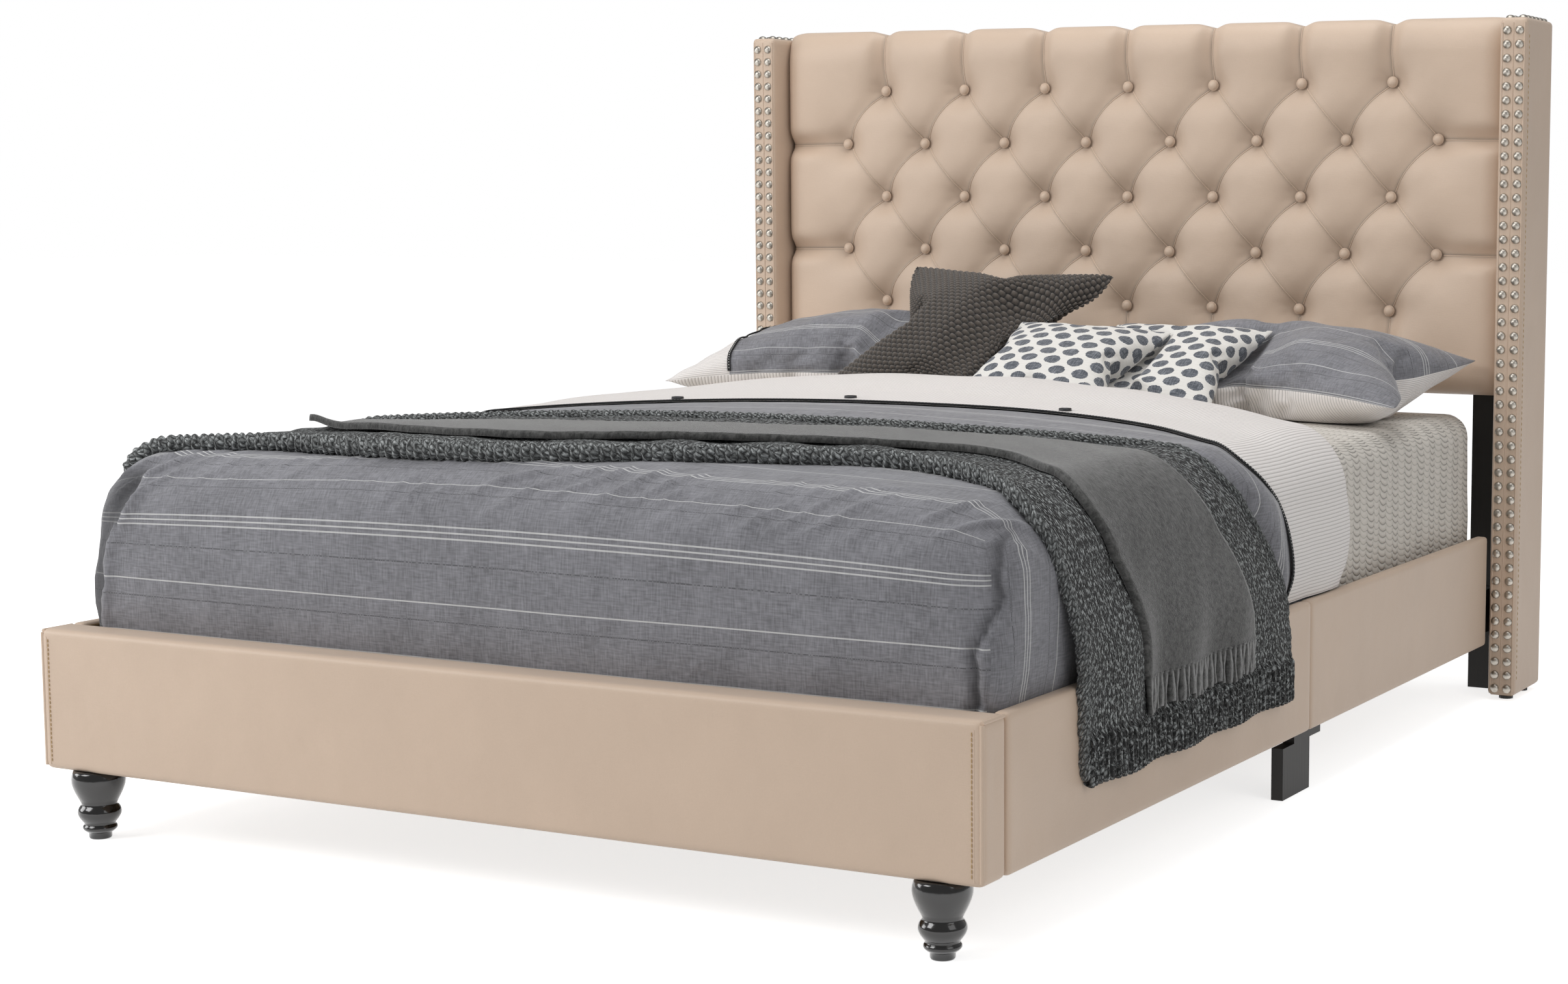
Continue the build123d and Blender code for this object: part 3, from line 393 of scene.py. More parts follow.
def matelasse():
    """Matelasse cotton: wide columns of small arched tucks, drawn down at their edges, with painted shade
    between tucks.
    """
    colour = tuple(colours().coverlet)
    column, tuck_run = 0.034, 0.0115
    material, tree = new_material("matelasse_cotton")
    flat = add(tree, "UVMap", uv_map="cloth")
    split = add(tree, "SeparateXYZ", {0: flat})
    wobble = add(tree, "TexNoise", {"Vector": flat, "Scale": cells_per_metre(60), "Detail": 1.0})
    wobble = add(tree, "Math", (wobble, 0.5), operation="SUBTRACT")
    wobble = add(tree, "Math", (wobble, 0.008), operation="MULTIPLY")
    row = add(tree, "Math", (split.outputs[1], wobble), operation="ADD")
    row = add(tree, "Math", (row, 1 / column), operation="MULTIPLY")
    across = add(tree, "Math", (row,), operation="FRACT")
    across = add(tree, "Math", (across, 0.5), operation="SUBTRACT")
    edge = add(tree, "Math", (across,), operation="ABSOLUTE")
    # Every second column is flatter.
    narrow = add(tree, "Math", (row, 2.0, 0.0), operation="WRAP")
    narrow = add(tree, "Math", (narrow, 1.0), operation="LESS_THAN")
    # The tucks run aslant and bow across their column.
    arch = add(tree, "Math", (across, across), operation="MULTIPLY")
    arch = add(tree, "Math", (arch, 0.022), operation="MULTIPLY")
    slant = add(tree, "Math", (split.outputs[1], -0.22), operation="MULTIPLY")
    slant = add(tree, "Math", (split.outputs[0], slant), operation="ADD")
    arch = add(tree, "Math", (wobble, arch), operation="ADD")
    tuck = add(tree, "Math", (slant, arch), operation="ADD")
    tuck = add(tree, "Math", (tuck, math.pi / tuck_run), operation="MULTIPLY")
    tuck = add(tree, "Math", (tuck,), operation="SINE")
    tuck = add(tree, "Math", (tuck,), operation="ABSOLUTE")
    full = add(tree, "Math", (tuck, 0.4), operation="POWER")
    plain = add(tree, "Math", (full, 0.4, 0.6), operation="MULTIPLY_ADD")
    height = add(tree, "Mix", {0: narrow, 2: full, 3: plain})
    inside = add(tree, "MapRange", {0: edge, 1: 0.5, 2: 0.38})
    inside = add(tree, "Math", (inside, 0.45, 0.55), operation="MULTIPLY_ADD")
    height = add(tree, "Math", (height, inside), operation="MULTIPLY")
    # Painted shade in the hollows between the tucks, much darker where these hollows meet the column edges.
    valley = add(tree, "MapRange", {0: tuck, 1: 0.3, 2: 0.0})
    border = add(tree, "MapRange", {0: edge, 1: 0.36, 2: 0.46})
    stitch = add(tree, "Math", (valley, border), operation="MULTIPLY")
    warp = weave(tree, flat, 0.0022)[0]
    tone = varied(tree, warp, colour, 0.93, 1.05)
    tone = tinted(tree, tone, valley, 0.3, shade(colour, 0.55))
    tone = tinted(tree, tone, stitch, 0.85, shade(colour, 0.25))
    bump = add(tree, "Bump", {"Height": height, "Distance": 0.0042})
    return finished(material, tone, bump, Roughness=0.9, Sheen_Weight=0.2)


def knitted_wool():
    """Chunky wool knit, black and white yarns plied together: strongly flecked, soft, with painted shade
    between stitches and ribs.
    """
    colour = tuple(colours().knit)
    pitch = sizes().knit_stitch
    material, tree = new_material("salt_and_pepper_knit")
    flat = add(tree, "UVMap", uv_map="cloth")
    split = add(tree, "SeparateXYZ", {0: flat})
    column = add(tree, "Math", (split.outputs[1], 1 / pitch), operation="MULTIPLY")
    column = add(tree, "Math", (column, 0.5), operation="PINGPONG")
    leg = add(tree, "Math", (split.outputs[0], 1 / (pitch * 0.8)), operation="MULTIPLY")
    leg = add(tree, "Math", (leg, column), operation="ADD")
    leg = add(tree, "Math", (leg, math.pi), operation="MULTIPLY")
    loop = add(tree, "Math", (leg,), operation="SINE")
    loop = add(tree, "Math", (loop,), operation="ABSOLUTE")
    loop = add(tree, "Math", (loop, 0.7), operation="POWER")
    between = add(tree, "Math", (column, math.pi * 2), operation="MULTIPLY")
    between = add(tree, "Math", (between,), operation="SINE")
    between = add(tree, "Math", (between, 0.5), operation="POWER")
    height = add(tree, "Math", (loop, between), operation="MULTIPLY")
    # The plied flecks are 9 mm long and 5 mm wide.
    plied = add(tree, "Mapping", {"Vector": flat, "Scale": (115, 205, 1)})
    fleck = add(tree, "TexNoise", {"Vector": plied, "Scale": 1.0, "Detail": 2.0, "Roughness": 0.7})
    fleck = add(tree, "MapRange", {0: fleck, 1: 0.5, 2: 0.58})
    tone = varied(tree, fleck, colour, 0.2, 8.0)
    # Painted shade between the stitches, where the loops are low.
    deep = add(tree, "MapRange", {0: height, 1: 0.0, 2: 0.5})
    tone = add(tree, "Mix", {0: deep, 6: shade(colour, 0.1), 7: tone}, data_type="RGBA")
    # Painted highlight on the loops of the rolled edges, which carry the lit mark.
    lit = add(tree, "Attribute", attribute_name="lit").outputs["Fac"]
    raised = add(tree, "Math", (height, 0.6), operation="MULTIPLY")
    raised = add(tree, "Math", (lit, raised), operation="MULTIPLY")
    tone = add(tree, "Mix", {0: raised, 6: tone, 7: shade(colour, 4.6)}, data_type="RGBA")
    # Painted shade in the grooves between the ribs of the hem.
    rib_shade = add(tree, "Attribute", attribute_name="rib_shade").outputs["Fac"]
    rib_shade = add(tree, "Math", (rib_shade, 0.55), operation="POWER")
    tone = add(tree, "Mix", {0: rib_shade, 6: tone, 7: shade(colour, 0.06)}, data_type="RGBA")
    bump = add(tree, "Bump", {"Height": height, "Distance": 0.006})
    return finished(material, tone, bump, Roughness=0.95, Sheen_Weight=0.15, Sheen_Roughness=0.5)


def felted_wool():
    """Milled woollen felt: brushed melange fibres over a hidden weave, dull with a soft rim."""
    colour = tuple(colours().felt)
    material, tree = new_material("milled_wool_felt")
    flat = add(tree, "UVMap", uv_map="cloth")
    fibre = {"Vector": flat, "Scale": cells_per_metre(3), "Detail": 4.0, "Distortion": 1.0}
    blend = {"Vector": flat, "Scale": cells_per_metre(9), "Detail": 4.0, "Roughness": 0.75}
    patch = {"Vector": flat, "Scale": cells_per_metre(60), "Detail": 2.0}
    melange = add(tree, "MapRange", {0: add(tree, "TexNoise", blend), 1: 0.38, 2: 0.62})
    tone = varied(tree, melange, colour, 0.55, 1.95)
    tone = tinted(tree, tone, add(tree, "TexNoise", patch), 0.35, shade(colour, 0.75))
    bump = add(tree, "Bump", {"Height": add(tree, "TexNoise", fibre), "Distance": 0.0009})
    return finished(material, tone, bump, Roughness=0.97, Sheen_Weight=0.6, Sheen_Roughness=0.35)


def dotted_cotton():
    """Slub cotton printed with rows of oval dots, each hatched like brush strokes."""
    pitch = sizes().dot_pitch
    material, tree = new_material("dotted_slub_cotton")
    flat = add(tree, "UVMap", uv_map="cloth")
    split = add(tree, "SeparateXYZ", {0: flat})
    row = add(tree, "Math", (split.outputs[1], 1 / (pitch * 0.6)), operation="MULTIPLY")
    # Every second row is moved along by half a pitch.
    odd = add(tree, "Math", (row,), operation="FLOOR")
    odd = add(tree, "Math", (odd, 0.5), operation="MULTIPLY")
    x = add(tree, "Math", (split.outputs[0], 1 / pitch), operation="MULTIPLY")
    x = add(tree, "Math", (x, odd), operation="ADD")
    x = add(tree, "Math", (x,), operation="FRACT")
    x = add(tree, "Math", (x, 0.5), operation="SUBTRACT")
    y = add(tree, "Math", (row,), operation="FRACT")
    y = add(tree, "Math", (y, 0.5), operation="SUBTRACT")
    y = add(tree, "Math", (y, 0.78), operation="MULTIPLY")
    squares = [add(tree, "Math", (part, part), operation="MULTIPLY") for part in (x, y)]
    reach = add(tree, "Math", squares, operation="ADD")
    reach = add(tree, "Math", (reach,), operation="SQRT")
    ragged = add(tree, "TexNoise", {"Vector": flat, "Scale": cells_per_metre(3), "Detail": 1.0})
    ragged = add(tree, "Math", (ragged, 0.5), operation="SUBTRACT")
    ragged = add(tree, "Math", (ragged, 0.09), operation="MULTIPLY")
    reach = add(tree, "Math", (reach, ragged), operation="ADD")
    inside = add(tree, "Math", (reach, 0.335), operation="LESS_THAN")
    warp, weft = weave(tree, flat, 0.0022)
    hatch = add(tree, "Math", (warp, weft), operation="ADD")
    hatch = add(tree, "MapRange", {0: hatch, 1: 0.9, 2: 1.25})
    ink = add(tree, "Mix", {0: hatch, 6: tuple(colours().dots), 7: linear("80848B")}, data_type="RGBA")
    cotton = add(tree, "Mix", {0: weft, 6: linear("D9D6D0"), 7: linear("EFEDE9")}, data_type="RGBA")
    tone = add(tree, "Mix", {0: inside, 6: cotton, 7: ink}, data_type="RGBA")
    bump = add(tree, "Bump", {"Height": warp, "Distance": 0.0005})
    return finished(material, tone, bump, Roughness=0.87, Sheen_Weight=0.2)


def bobble_knit():
    """Bobble-knit acrylic wool: dark brown-grey, with painted black shade between the bobbles."""
    colour = tuple(colours().charcoal)
    material, tree = new_material("charcoal_bobble_knit")
    flat = add(tree, "UVMap", uv_map="cloth")
    fibre = add(tree, "TexNoise", {"Vector": flat, "Scale": cells_per_metre(1.8), "Detail": 2.0})
    tone = varied(tree, fibre, colour, 0.75, 1.5)
    # Painted shade, near black, between the bobbles.
    rise = add(tree, "Attribute", attribute_name="bobble").outputs["Fac"]
    tone = add(tree, "Mix", {0: rise, 6: shade(colour, 0.1), 7: tone}, data_type="RGBA")
    bump = add(tree, "Bump", {"Height": fibre, "Distance": 0.0008})
    return finished(material, tone, bump, Roughness=0.9, Sheen_Weight=0.35)


finishes = {}


def finish(maker, *values):
    """Each finish is made once and shared."""
    key = (maker.__name__,) + values
    if key not in finishes:
        finishes[key] = maker(*values)
    return finishes[key]


# Meshes


def as_mesh(bm, name):
    mesh = bpy.data.meshes.new(name)
    bm.to_mesh(mesh)
    bm.free()
    return mesh


def vectors_of(items, key):
    """One vector of each item in a mesh's list, as rows."""
    flat = np.empty(len(items) * 3)
    items.foreach_get(key, flat)
    return flat.reshape(-1, 3)


def points_of(mesh):
    return vectors_of(mesh.vertices, "co")


def normals_of(mesh):
    return vectors_of(mesh.vertex_normals, "vector")


def set_points(mesh, points):
    mesh.vertices.foreach_set("co", np.ascontiguousarray(points, dtype=np.float64).ravel())
    mesh.update()


def corners_of(mesh):
    """The vertex at each corner of the faces."""
    corners = np.empty(len(mesh.loops), dtype=np.int64)
    mesh.loops.foreach_get("vertex_index", corners)
    return corners


def lay_flat(mesh, places):
    """Gives each vertex its place on the flat cloth, in metres."""
    layer = mesh.uv_layers.new(name="cloth")
    layer.data.foreach_set("uv", places[corners_of(mesh)].ravel())


def flat_corners(mesh):
    """Where each corner of the faces is on the flat cloth."""
    flat = np.empty(len(mesh.loops) * 2)
    mesh.uv_layers["cloth"].data.foreach_get("uv", flat)
    return flat.reshape(-1, 2)


def mark(mesh, name, values):
    """Stores one number a vertex for a material to read."""
    layer = mesh.attributes.new(name, "FLOAT", "POINT")
    layer.data.foreach_set("value", np.ascontiguousarray(values, dtype=np.float32))


def piece(name, mesh, materials, body, nodes=(), smooth=True):
    """Puts a finished mesh in the scene as a piece of the bed."""
    for material in materials:
        mesh.materials.append(material)
    mesh.polygons.foreach_set("use_smooth", [smooth] * len(mesh.polygons))
    made = bpy.data.objects.new(name, mesh)
    bpy.context.scene.collection.objects.link(made)
    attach(made, body)
    if nodes:
        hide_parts(*nodes)
    return made


def grid_mesh(name, columns, rows, place, flat):
    """A rectangle of cloth. For u and v from 0 to 1, place gives points and flat metres on the cloth."""
    bm = bmesh.new()
    middle = Matrix.Translation((0.5, 0.5, 0))
    bmesh.ops.create_grid(bm, x_segments=columns, y_segments=rows, size=0.5, matrix=middle)
    mesh = as_mesh(bm, name)
    u, v = points_of(mesh)[:, :2].T
    lay_flat(mesh, np.column_stack(flat(u, v)))
    set_points(mesh, np.column_stack(place(u, v)))
    return mesh


def along_path(share, places, values):
    """The rows of values at places, read between for shares."""
    return np.column_stack([np.interp(share, places, column) for column in np.asarray(values).T])


def through(values, places, heights):
    """A smooth curve through known points."""
    places, heights = np.array(places), np.array(heights)
    slopes = np.gradient(heights, places)
    spot = np.clip(np.searchsorted(places, values) - 1, 0, len(places) - 2)
    run = places[spot + 1] - places[spot]
    share = np.clip((values - places[spot]) / run, 0, 1)
    start = (1 - share) ** 2 * ((1 + 2 * share) * heights[spot] + share * run * slopes[spot])
    end = share**2 * ((3 - 2 * share) * heights[spot + 1] - (1 - share) * run * slopes[spot + 1])
    return start + end


def cell_box(low, high, cells, skip=(), gather=0.0):
    """A box of quads, gathered to its edges by a share, with a flat cloth and without the sides in skip."""
    low, high = Vector(low), Vector(high)
    size = high - low
    bm = bmesh.new()
    bmesh.ops.create_cube(bm, size=1)
    bmesh.ops.scale(bm, vec=size, verts=bm.verts)
    bmesh.ops.translate(bm, vec=(low + high) / 2, verts=bm.verts)
    for axis in range(3):
        along = [e for e in bm.edges if abs((e.verts[0].co - e.verts[1].co)[axis]) > size[axis] * 0.9]
        if cells[axis] > 1:
            bmesh.ops.subdivide_edges(bm, edges=along, cuts=cells[axis] - 1, use_grid_fill=True)
    for vert in bm.verts:
        for axis in range(3):
            share = (vert.co[axis] - low[axis]) / size[axis]
            vert.co[axis] += gather * size[axis] * (0.5 - 0.5 * math.cos(math.pi * share) - share)
    bm.normal_update()
    layer = bm.loops.layers.uv.new("cloth")
    gone = []
    for face in bm.faces:
        axis = max(range(3), key=lambda a: abs(face.normal[a]))
        side = ("-" if face.normal[axis] < 0 else "+") + "xyz"[axis]
        if side in skip:
            gone.append(face)
        for loop in face.loops:
            x, y, z = loop.vert.co
            drop = high.z - z
            if axis == 0:
                loop[layer].uv = (x + math.copysign(drop, face.normal.x), y)
            elif axis == 1:
                loop[layer].uv = (x, y + math.copysign(drop, face.normal.y))
            else:
                loop[layer].uv = (x, y)
    bmesh.ops.delete(bm, geom=gone, context="FACES")
    return bm


def rounded(points, low, high, radius):
    """Draws the edges and corners of a box in to a radius."""
    inner = np.clip(points, np.array(low) + radius, np.array(high) - radius)
    out = points - inner
    reach = np.linalg.norm(out, axis=1, keepdims=True)
    return inner + np.where(reach > 0, out * radius / np.maximum(reach, 1e-9), 0)


def ripple(points, length, seed, waves=14, stretch=(1, 1, 1)):
    """Smooth random swell of about -1 to 1, with waves about that long."""
    dice = np.random.default_rng(seed)
    total = np.zeros(len(points))
    for _ in range(waves):
        heading = dice.normal(size=3) * np.array(stretch)
        heading /= np.linalg.norm(dice.normal(size=3)) + 1e-9
        total += np.cos(points @ heading * (2 * math.pi / length) + dice.uniform(0, 2 * math.pi))
    return total / math.sqrt(waves / 2) / 1.8


def eased(values, start, end):
    """0 before start, 1 after end, and smooth between."""
    share = np.clip((values - start) / (end - start), 0, 1)
    return share * share * (3 - 2 * share)


def cloth_of(mesh):
    """Where each vertex is on the flat cloth, in metres."""
    cloth = np.zeros((len(mesh.vertices), 2))
    cloth[corners_of(mesh)] = flat_corners(mesh)
    return cloth


def shift_cloth(mesh, along):
    """Slides the cloth's pattern along."""
    flat = flat_corners(mesh) + np.array([0, along])
    mesh.uv_layers["cloth"].data.foreach_set("uv", flat.ravel())


def rolled_edge(name, path, columns, radius, loop):
    """A rolled knitted edge. path gives its middle and its outward way for shares along it."""

    def place(u, v):
        middle, out = path(u)
        turn = v * 2 * math.pi
        length = u * 2.0
        lump = np.abs(np.sin(math.pi * (length + 0.009 * np.sin(turn)) / loop)) ** 0.8
        closed = np.clip(np.minimum(u, 1 - u) / 0.005, 0, 1) ** 0.5
        reach = radius(u) * (0.72 + 0.4 * lump) * closed
        side = np.array([0.0, 1.0, 0.0])
        points = middle + (out * np.cos(turn)[:, None] + side * np.sin(turn)[:, None]) * reach[:, None]
        return points.T

    mesh = grid_mesh(name, columns, 18, place, lambda u, v: (u * 2.0, v * 0.06 + u * 0.9))
    bm = bmesh.new()
    bm.from_mesh(mesh)
    bmesh.ops.remove_doubles(bm, verts=bm.verts, dist=1e-5)
    bmesh.ops.recalc_face_normals(bm, faces=bm.faces)
    bm.to_mesh(mesh)
    bm.free()
    return mesh


def soft_box(name, low, high, cells, radius, crown, seed):
    """An upholstered board: rounded edges and faces that swell a little between them."""
    mesh = as_mesh(cell_box(low, high, cells, gather=1.0), name)
    points = rounded(points_of(mesh), low, high, radius)
    set_points(mesh, points)
    low, high = np.array(low), np.array(high)
    inset = np.minimum(points - low, high - points)
    edge = np.sort(inset, axis=1)[:, 1]
    swell = crown * (ripple(points, 0.35, seed) - 1) * eased(edge, 0.004, 0.05)
    set_points(mesh, points + normals_of(mesh) * swell[:, None])
    return mesh


def padded_board(name, node, cells, radius, crown, seed):
    """The leatherette padding that takes the place of a cover."""
    low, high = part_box(node)
    mesh = soft_box(name, low, high, cells, radius, crown, seed)
    piece(name, mesh, [finish(leatherette)], FRAME, [node])
    return low, high


def scattered(name, unit, places):
    """Copies of one small mesh, one at each place."""
    whole = bmesh.new()
    for place in places:
        known = len(whole.verts)
        whole.from_mesh(unit)
        whole.verts.ensure_lookup_table()
        bmesh.ops.transform(whole, matrix=place, verts=whole.verts[known:])
    bpy.data.meshes.remove(unit)
    return as_mesh(whole, name)


def beads(name, places, width, segments, rings, squash):
    """Like domes, one at each place, whose Z axis is the way it faces."""
    bm = bmesh.new()
    bmesh.ops.create_uvsphere(bm, u_segments=segments, v_segments=rings, radius=1)
    everything = bm.verts[:] + bm.edges[:] + bm.faces[:]
    bmesh.ops.bisect_plane(bm, geom=everything, plane_co=(0, 0, 0), plane_no=(0, 0, -1), clear_outer=True)
    bmesh.ops.scale(bm, vec=(width, width, squash), verts=bm.verts)
    return scattered(name, as_mesh(bm, name + "_unit"), places)


def rope_mesh(name, points, radius, sides=8, closed=False):
    """A round cord along points, as a mesh."""
    curve = bpy.data.curves.new(name, "CURVE")
    curve.dimensions = "3D"
    curve.bevel_depth = radius
    curve.bevel_resolution = max(0, sides // 4)
    curve.use_fill_caps = True
    line = curve.splines.new("POLY")
    line.points.add(len(points) - 1)
    line.points.foreach_set("co", np.column_stack((points, np.ones(len(points)))).ravel())
    line.use_cyclic_u = closed
    holder = bpy.data.objects.new(name, curve)
    mesh = bpy.data.meshes.new_from_object(holder)
    bpy.data.objects.remove(holder)
    bpy.data.curves.remove(curve)
    return mesh


def joined(name, meshes):
    """Several meshes as one."""
    whole = bmesh.new()
    for mesh in meshes:
        whole.from_mesh(mesh)
        bpy.data.meshes.remove(mesh)
    return as_mesh(whole, name)


def stitch_row(name, start, end, out, pitch):
    """A straight row of stitches, each a short loop of thread that dips at its ends."""
    start, end, out = (np.array(place) for place in (start, end, out))
    count = int(np.linalg.norm(end - start) / pitch)
    rows = []
    for number in range(count):
        places = start + (end - start) * (np.array([0.1, 0.45, 0.8])[:, None] + number) / count
        places = places + out * np.array([-0.0004, 0.0006, -0.0004])[:, None]
        rows.append(rope_mesh(name, places, 0.0008, sides=4))
    return joined(name, rows)


def straight_cord(name, start, end, radius):
    """A round cord from start to end."""
    return rope_mesh(name, np.array((start, end)), radius)


def facing_out(normal):
    """The turn that lays a unit's Z axis along a normal."""
    return Vector(normal).to_track_quat("Z", "Y").to_matrix().to_4x4()


# The headboard

# The turn that lays a button or nail on a face towards the foot.
TO_FOOT = Euler((math.pi / 2, 0, 0)).to_matrix().to_4x4()
# From one nail to the next.
NAIL_STEP = 0.0262


def button_rows():
    """Row by row, the X places and the height of the buttons."""
    pitch, step, top = 0.1901, 0.1116, 1.1917
    rows = []
    for row in range(5):
        count = 7 + row % 2
        rows.append(([(place - (count - 1) / 2) * pitch for place in range(count)], top - row * step))
    return rows


def pad_sizes():
    """Half width, foot, top and face of the pad."""
    low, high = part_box("tufted_pad")
    return high[0], low[2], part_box("right_wing_cover")[1][2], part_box("panel_board")[0][1] - 0.017


# How far the pad's cover rolls in at its top, its foot and its sides.
ROLL_TOP, ROLL_FOOT, ROLL_SIDE = 0.062, 0.04, 0.045
# The shares across and up the sheet that these rolls take, and the height share that is left between them.
SIDE_SHARE, FOOT_SHARE, FACE_SHARE = 0.06, 0.07, 0.76


def pleat_lines():
    """Pleats as (points, depth in the middle, depth at the ends, strength of the fold)."""
    half, bottom, top = pad_sizes()[:3]
    rows = button_rows()
    lines = []
    share = np.linspace(0, 1, 9)
    for (upper, high), (lower, low) in zip(rows, rows[1:]):
        for x, other in ((x, other) for x in upper for other in lower if abs(x - other) < 0.11):
            # The folds run down to the left. Those down to the right are shallow valleys.
            folded = other < x
            bow, middle, fold = (0.0055, 0.2, 1.0) if folded else (0.0035, 0.08, 0.1)
            bow = bow * np.sin(np.pi * share)
            across = x + (other - x) * share + (-bow if folded else bow)
            lines.append((np.column_stack((across, high + (low - high) * share + bow)), middle, 0.45, fold))
    upright = [((x, rows[0][1]), (x - 0.003, (rows[0][1] + top) / 2), (x, top + 0.05)) for x in rows[0][0]]
    lines += [(np.array(places), 0.65, 0.6, 0.0) for places in upright]
    level = [((x, rows[-1][1]), (x, bottom - 0.01)) for x in rows[-1][0]]
    for places, z in (rows[1], rows[3]):
        level += [((side * places[-1], z), (side * half, z - 0.002)) for side in (-1, 1)]
    return lines + [(np.array(places), 0.6, 0.6, 0.0) for places in level]


def tuft_field(x, z):
    """How far each place is pulled in by buttons, by pleats and in their creases, and the folds' lift."""
    slack = np.ones_like(x)
    lift = np.zeros_like(x)
    dice = np.random.default_rng(17)
    for places, height in button_rows():
        for place in places:
            across, up = x - place, z - height
            reach = np.hypot(across, up)
            slack *= 1 - 0.97 * np.exp(-((reach / 0.046) ** 1.25))
            # Short gathers beside each button, most of them on its left.
            angle = np.arctan2(up, across)
            ring = np.exp(-(((reach - 0.026) / 0.012) ** 2))
            gathers = np.cos(9 * angle + dice.uniform(0, 6))
            lift += 0.5 * ring * gathers * (0.5 - 0.5 * np.cos(angle + dice.uniform(-0.5, 0.5))) ** 2
    smooth = np.ones_like(x)
    crease = np.zeros_like(x)
    for points, middle, ends, fold in pleat_lines():
        low, high = points.min(axis=0) - 0.09, points.max(axis=0) + 0.09
        near = np.flatnonzero((x > low[0]) & (x < high[0]) & (z > low[1]) & (z < high[1]))
        nearest = np.full(len(near), 9.0)
        along = np.zeros(len(near))
        side = np.zeros(len(near))
        for number, (a, b) in enumerate(zip(points, points[1:])):
            run = b - a
            across, up = x[near] - a[0], z[near] - a[1]
            share = np.clip((across * run[0] + up * run[1]) / (run @ run), 0, 1)
            reach = np.hypot(across - run[0] * share, up - run[1] * share)
            closer = reach < nearest
            nearest[closer] = reach[closer]
            along[closer] = ((number + share) / (len(points) - 1))[closer]
            side[closer] = ((up * run[0] - across * run[1]) / np.linalg.norm(run))[closer]
        depth = middle + (ends - middle) * np.abs(2 * along - 1) ** 3
        smooth[near] *= 1 - depth * np.exp(-((nearest / 0.019) ** 2))
        sharp = (0.3 + 0.7 * min(1, middle * 4)) * np.exp(-((nearest / 0.0035) ** 2))
        crease[near] = np.maximum(crease[near], sharp)
        lift[near] += fold * np.tanh(side / 0.0025) * np.exp(-nearest / 0.016) * np.sin(np.pi * along)
    return 1 - slack, 1 - smooth, crease, lift


def pad_surface(u, v):
    """Places on the pad for shares across and up, and the painted shade of each in creases and dimples."""
    half, bottom, top, face = pad_sizes()
    edge = np.minimum(u, 1 - u)
    end = np.clip(edge / SIDE_SHARE, 0, 1) * math.pi / 2
    flat = np.clip(edge - SIDE_SHARE, 0, 1) / (0.5 - SIDE_SHARE)
    x = np.sign(u - 0.5) * (half - ROLL_SIDE * (1 - np.cos(end)) - flat * (half - ROLL_SIDE))
    turn = np.clip(v / FOOT_SHARE, 0, 1) * math.pi / 2
    over = np.clip((v - 0.83) / 0.1, 0, 1) * math.pi / 2
    rise = np.clip((v - FOOT_SHARE) / FACE_SHARE, 0, 1) * (top - ROLL_TOP - bottom - ROLL_FOOT)
    z = bottom + ROLL_FOOT * (1 - np.cos(turn)) + rise + ROLL_TOP * np.sin(over)
    pull, valley, crease, lift = tuft_field(x, z)
    full = (1 - 0.95 * pull) * (1 - valley) - (0.06 * crease - 0.055 * lift) * (1 - pull)
    roll = np.sin(turn) * np.cos(over) * np.sin(end) ** 0.75
    y = face - 0.002 - sizes().puff_height * np.clip(full, 0, 1.1) * roll
    behind = np.clip((v - 0.93) / 0.07, 0, 1)
    y = y + behind * (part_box("tufted_pad")[1][1] - face - 0.004)
    crown = 0.016 * (1 - valley) - 0.006 - 0.004 * x / half
    z = z + crown * eased(z, top - 0.1, top) * np.sin(end) * (1 - 0.4 * behind)
    x = x - np.sign(x) * 0.011 * valley * (1 - np.sin(end))
    # Painted shade: dark in the creases and round the dimples of the buttons.
    dark = 0.65 * crease + 0.3 * pull**4 + 0.24 * pull**2 * (1 - crease)
    return np.column_stack((x, y, z)), np.clip(dark, 0, 1) * (1 - behind)


def pleat_cords(radius, aside):
    """A thin cord along every folded or deep tuft line, a little to its lower right."""
    half, bottom, top = pad_sizes()[:3]
    cords = []
    for points, middle, _, fold in pleat_lines():
        if not fold and middle <= 0.5:
            continue
        between = abs(points[-1][0]) < half and bottom < points[-1][1] < top
        share = np.linspace(0.09, 0.91 if between else 1, 24)
        x, z = along_path(share, np.linspace(0, 1, len(points)), points).T
        x, z = x + aside * 0.7, z - aside * 0.7
        # Back from places on the face to shares across and up the sheet.
        inner = half - ROLL_SIDE
        u = 0.5 + (0.5 - SIDE_SHARE) * x / inner
        rolled = 0.5 + np.sign(x) * (0.5 - SIDE_SHARE + (np.abs(x) - inner) * 1.3)
        u = np.where(np.abs(x) > inner, rolled, u)
        v = FOOT_SHARE + FACE_SHARE * (z - bottom - ROLL_FOOT) / (top - bottom - ROLL_FOOT - ROLL_TOP)
        v = np.where(z > top - ROLL_TOP, 0.83 + (z - top + ROLL_TOP) * 1.25, v)
        line = pad_surface(np.clip(u, 0.002, 0.998), np.clip(v, 0.02, 0.95))[0]
        cords.append(rope_mesh("cord", line + np.array([0, -0.0004, 0]), radius, sides=4))
    return joined("pleat_cords", cords)


def tufted_pad():
    """The buttoned pad: puffs between pleats that roll over its top edge."""
    half, bottom, top = pad_sizes()[:3]
    found = []

    def place(u, v):
        points, deep = pad_surface(u, v)
        found.append(deep)
        return points.T

    def flat(u, v):
        return u * 2 * half, v * (top - bottom + 0.1)

    mesh = grid_mesh("tufted_pad_cover", 400, 214, place, flat)
    # The mark carries the painted shade to the leatherette.
    mark(mesh, "pleat_shade", found[0])
    return mesh


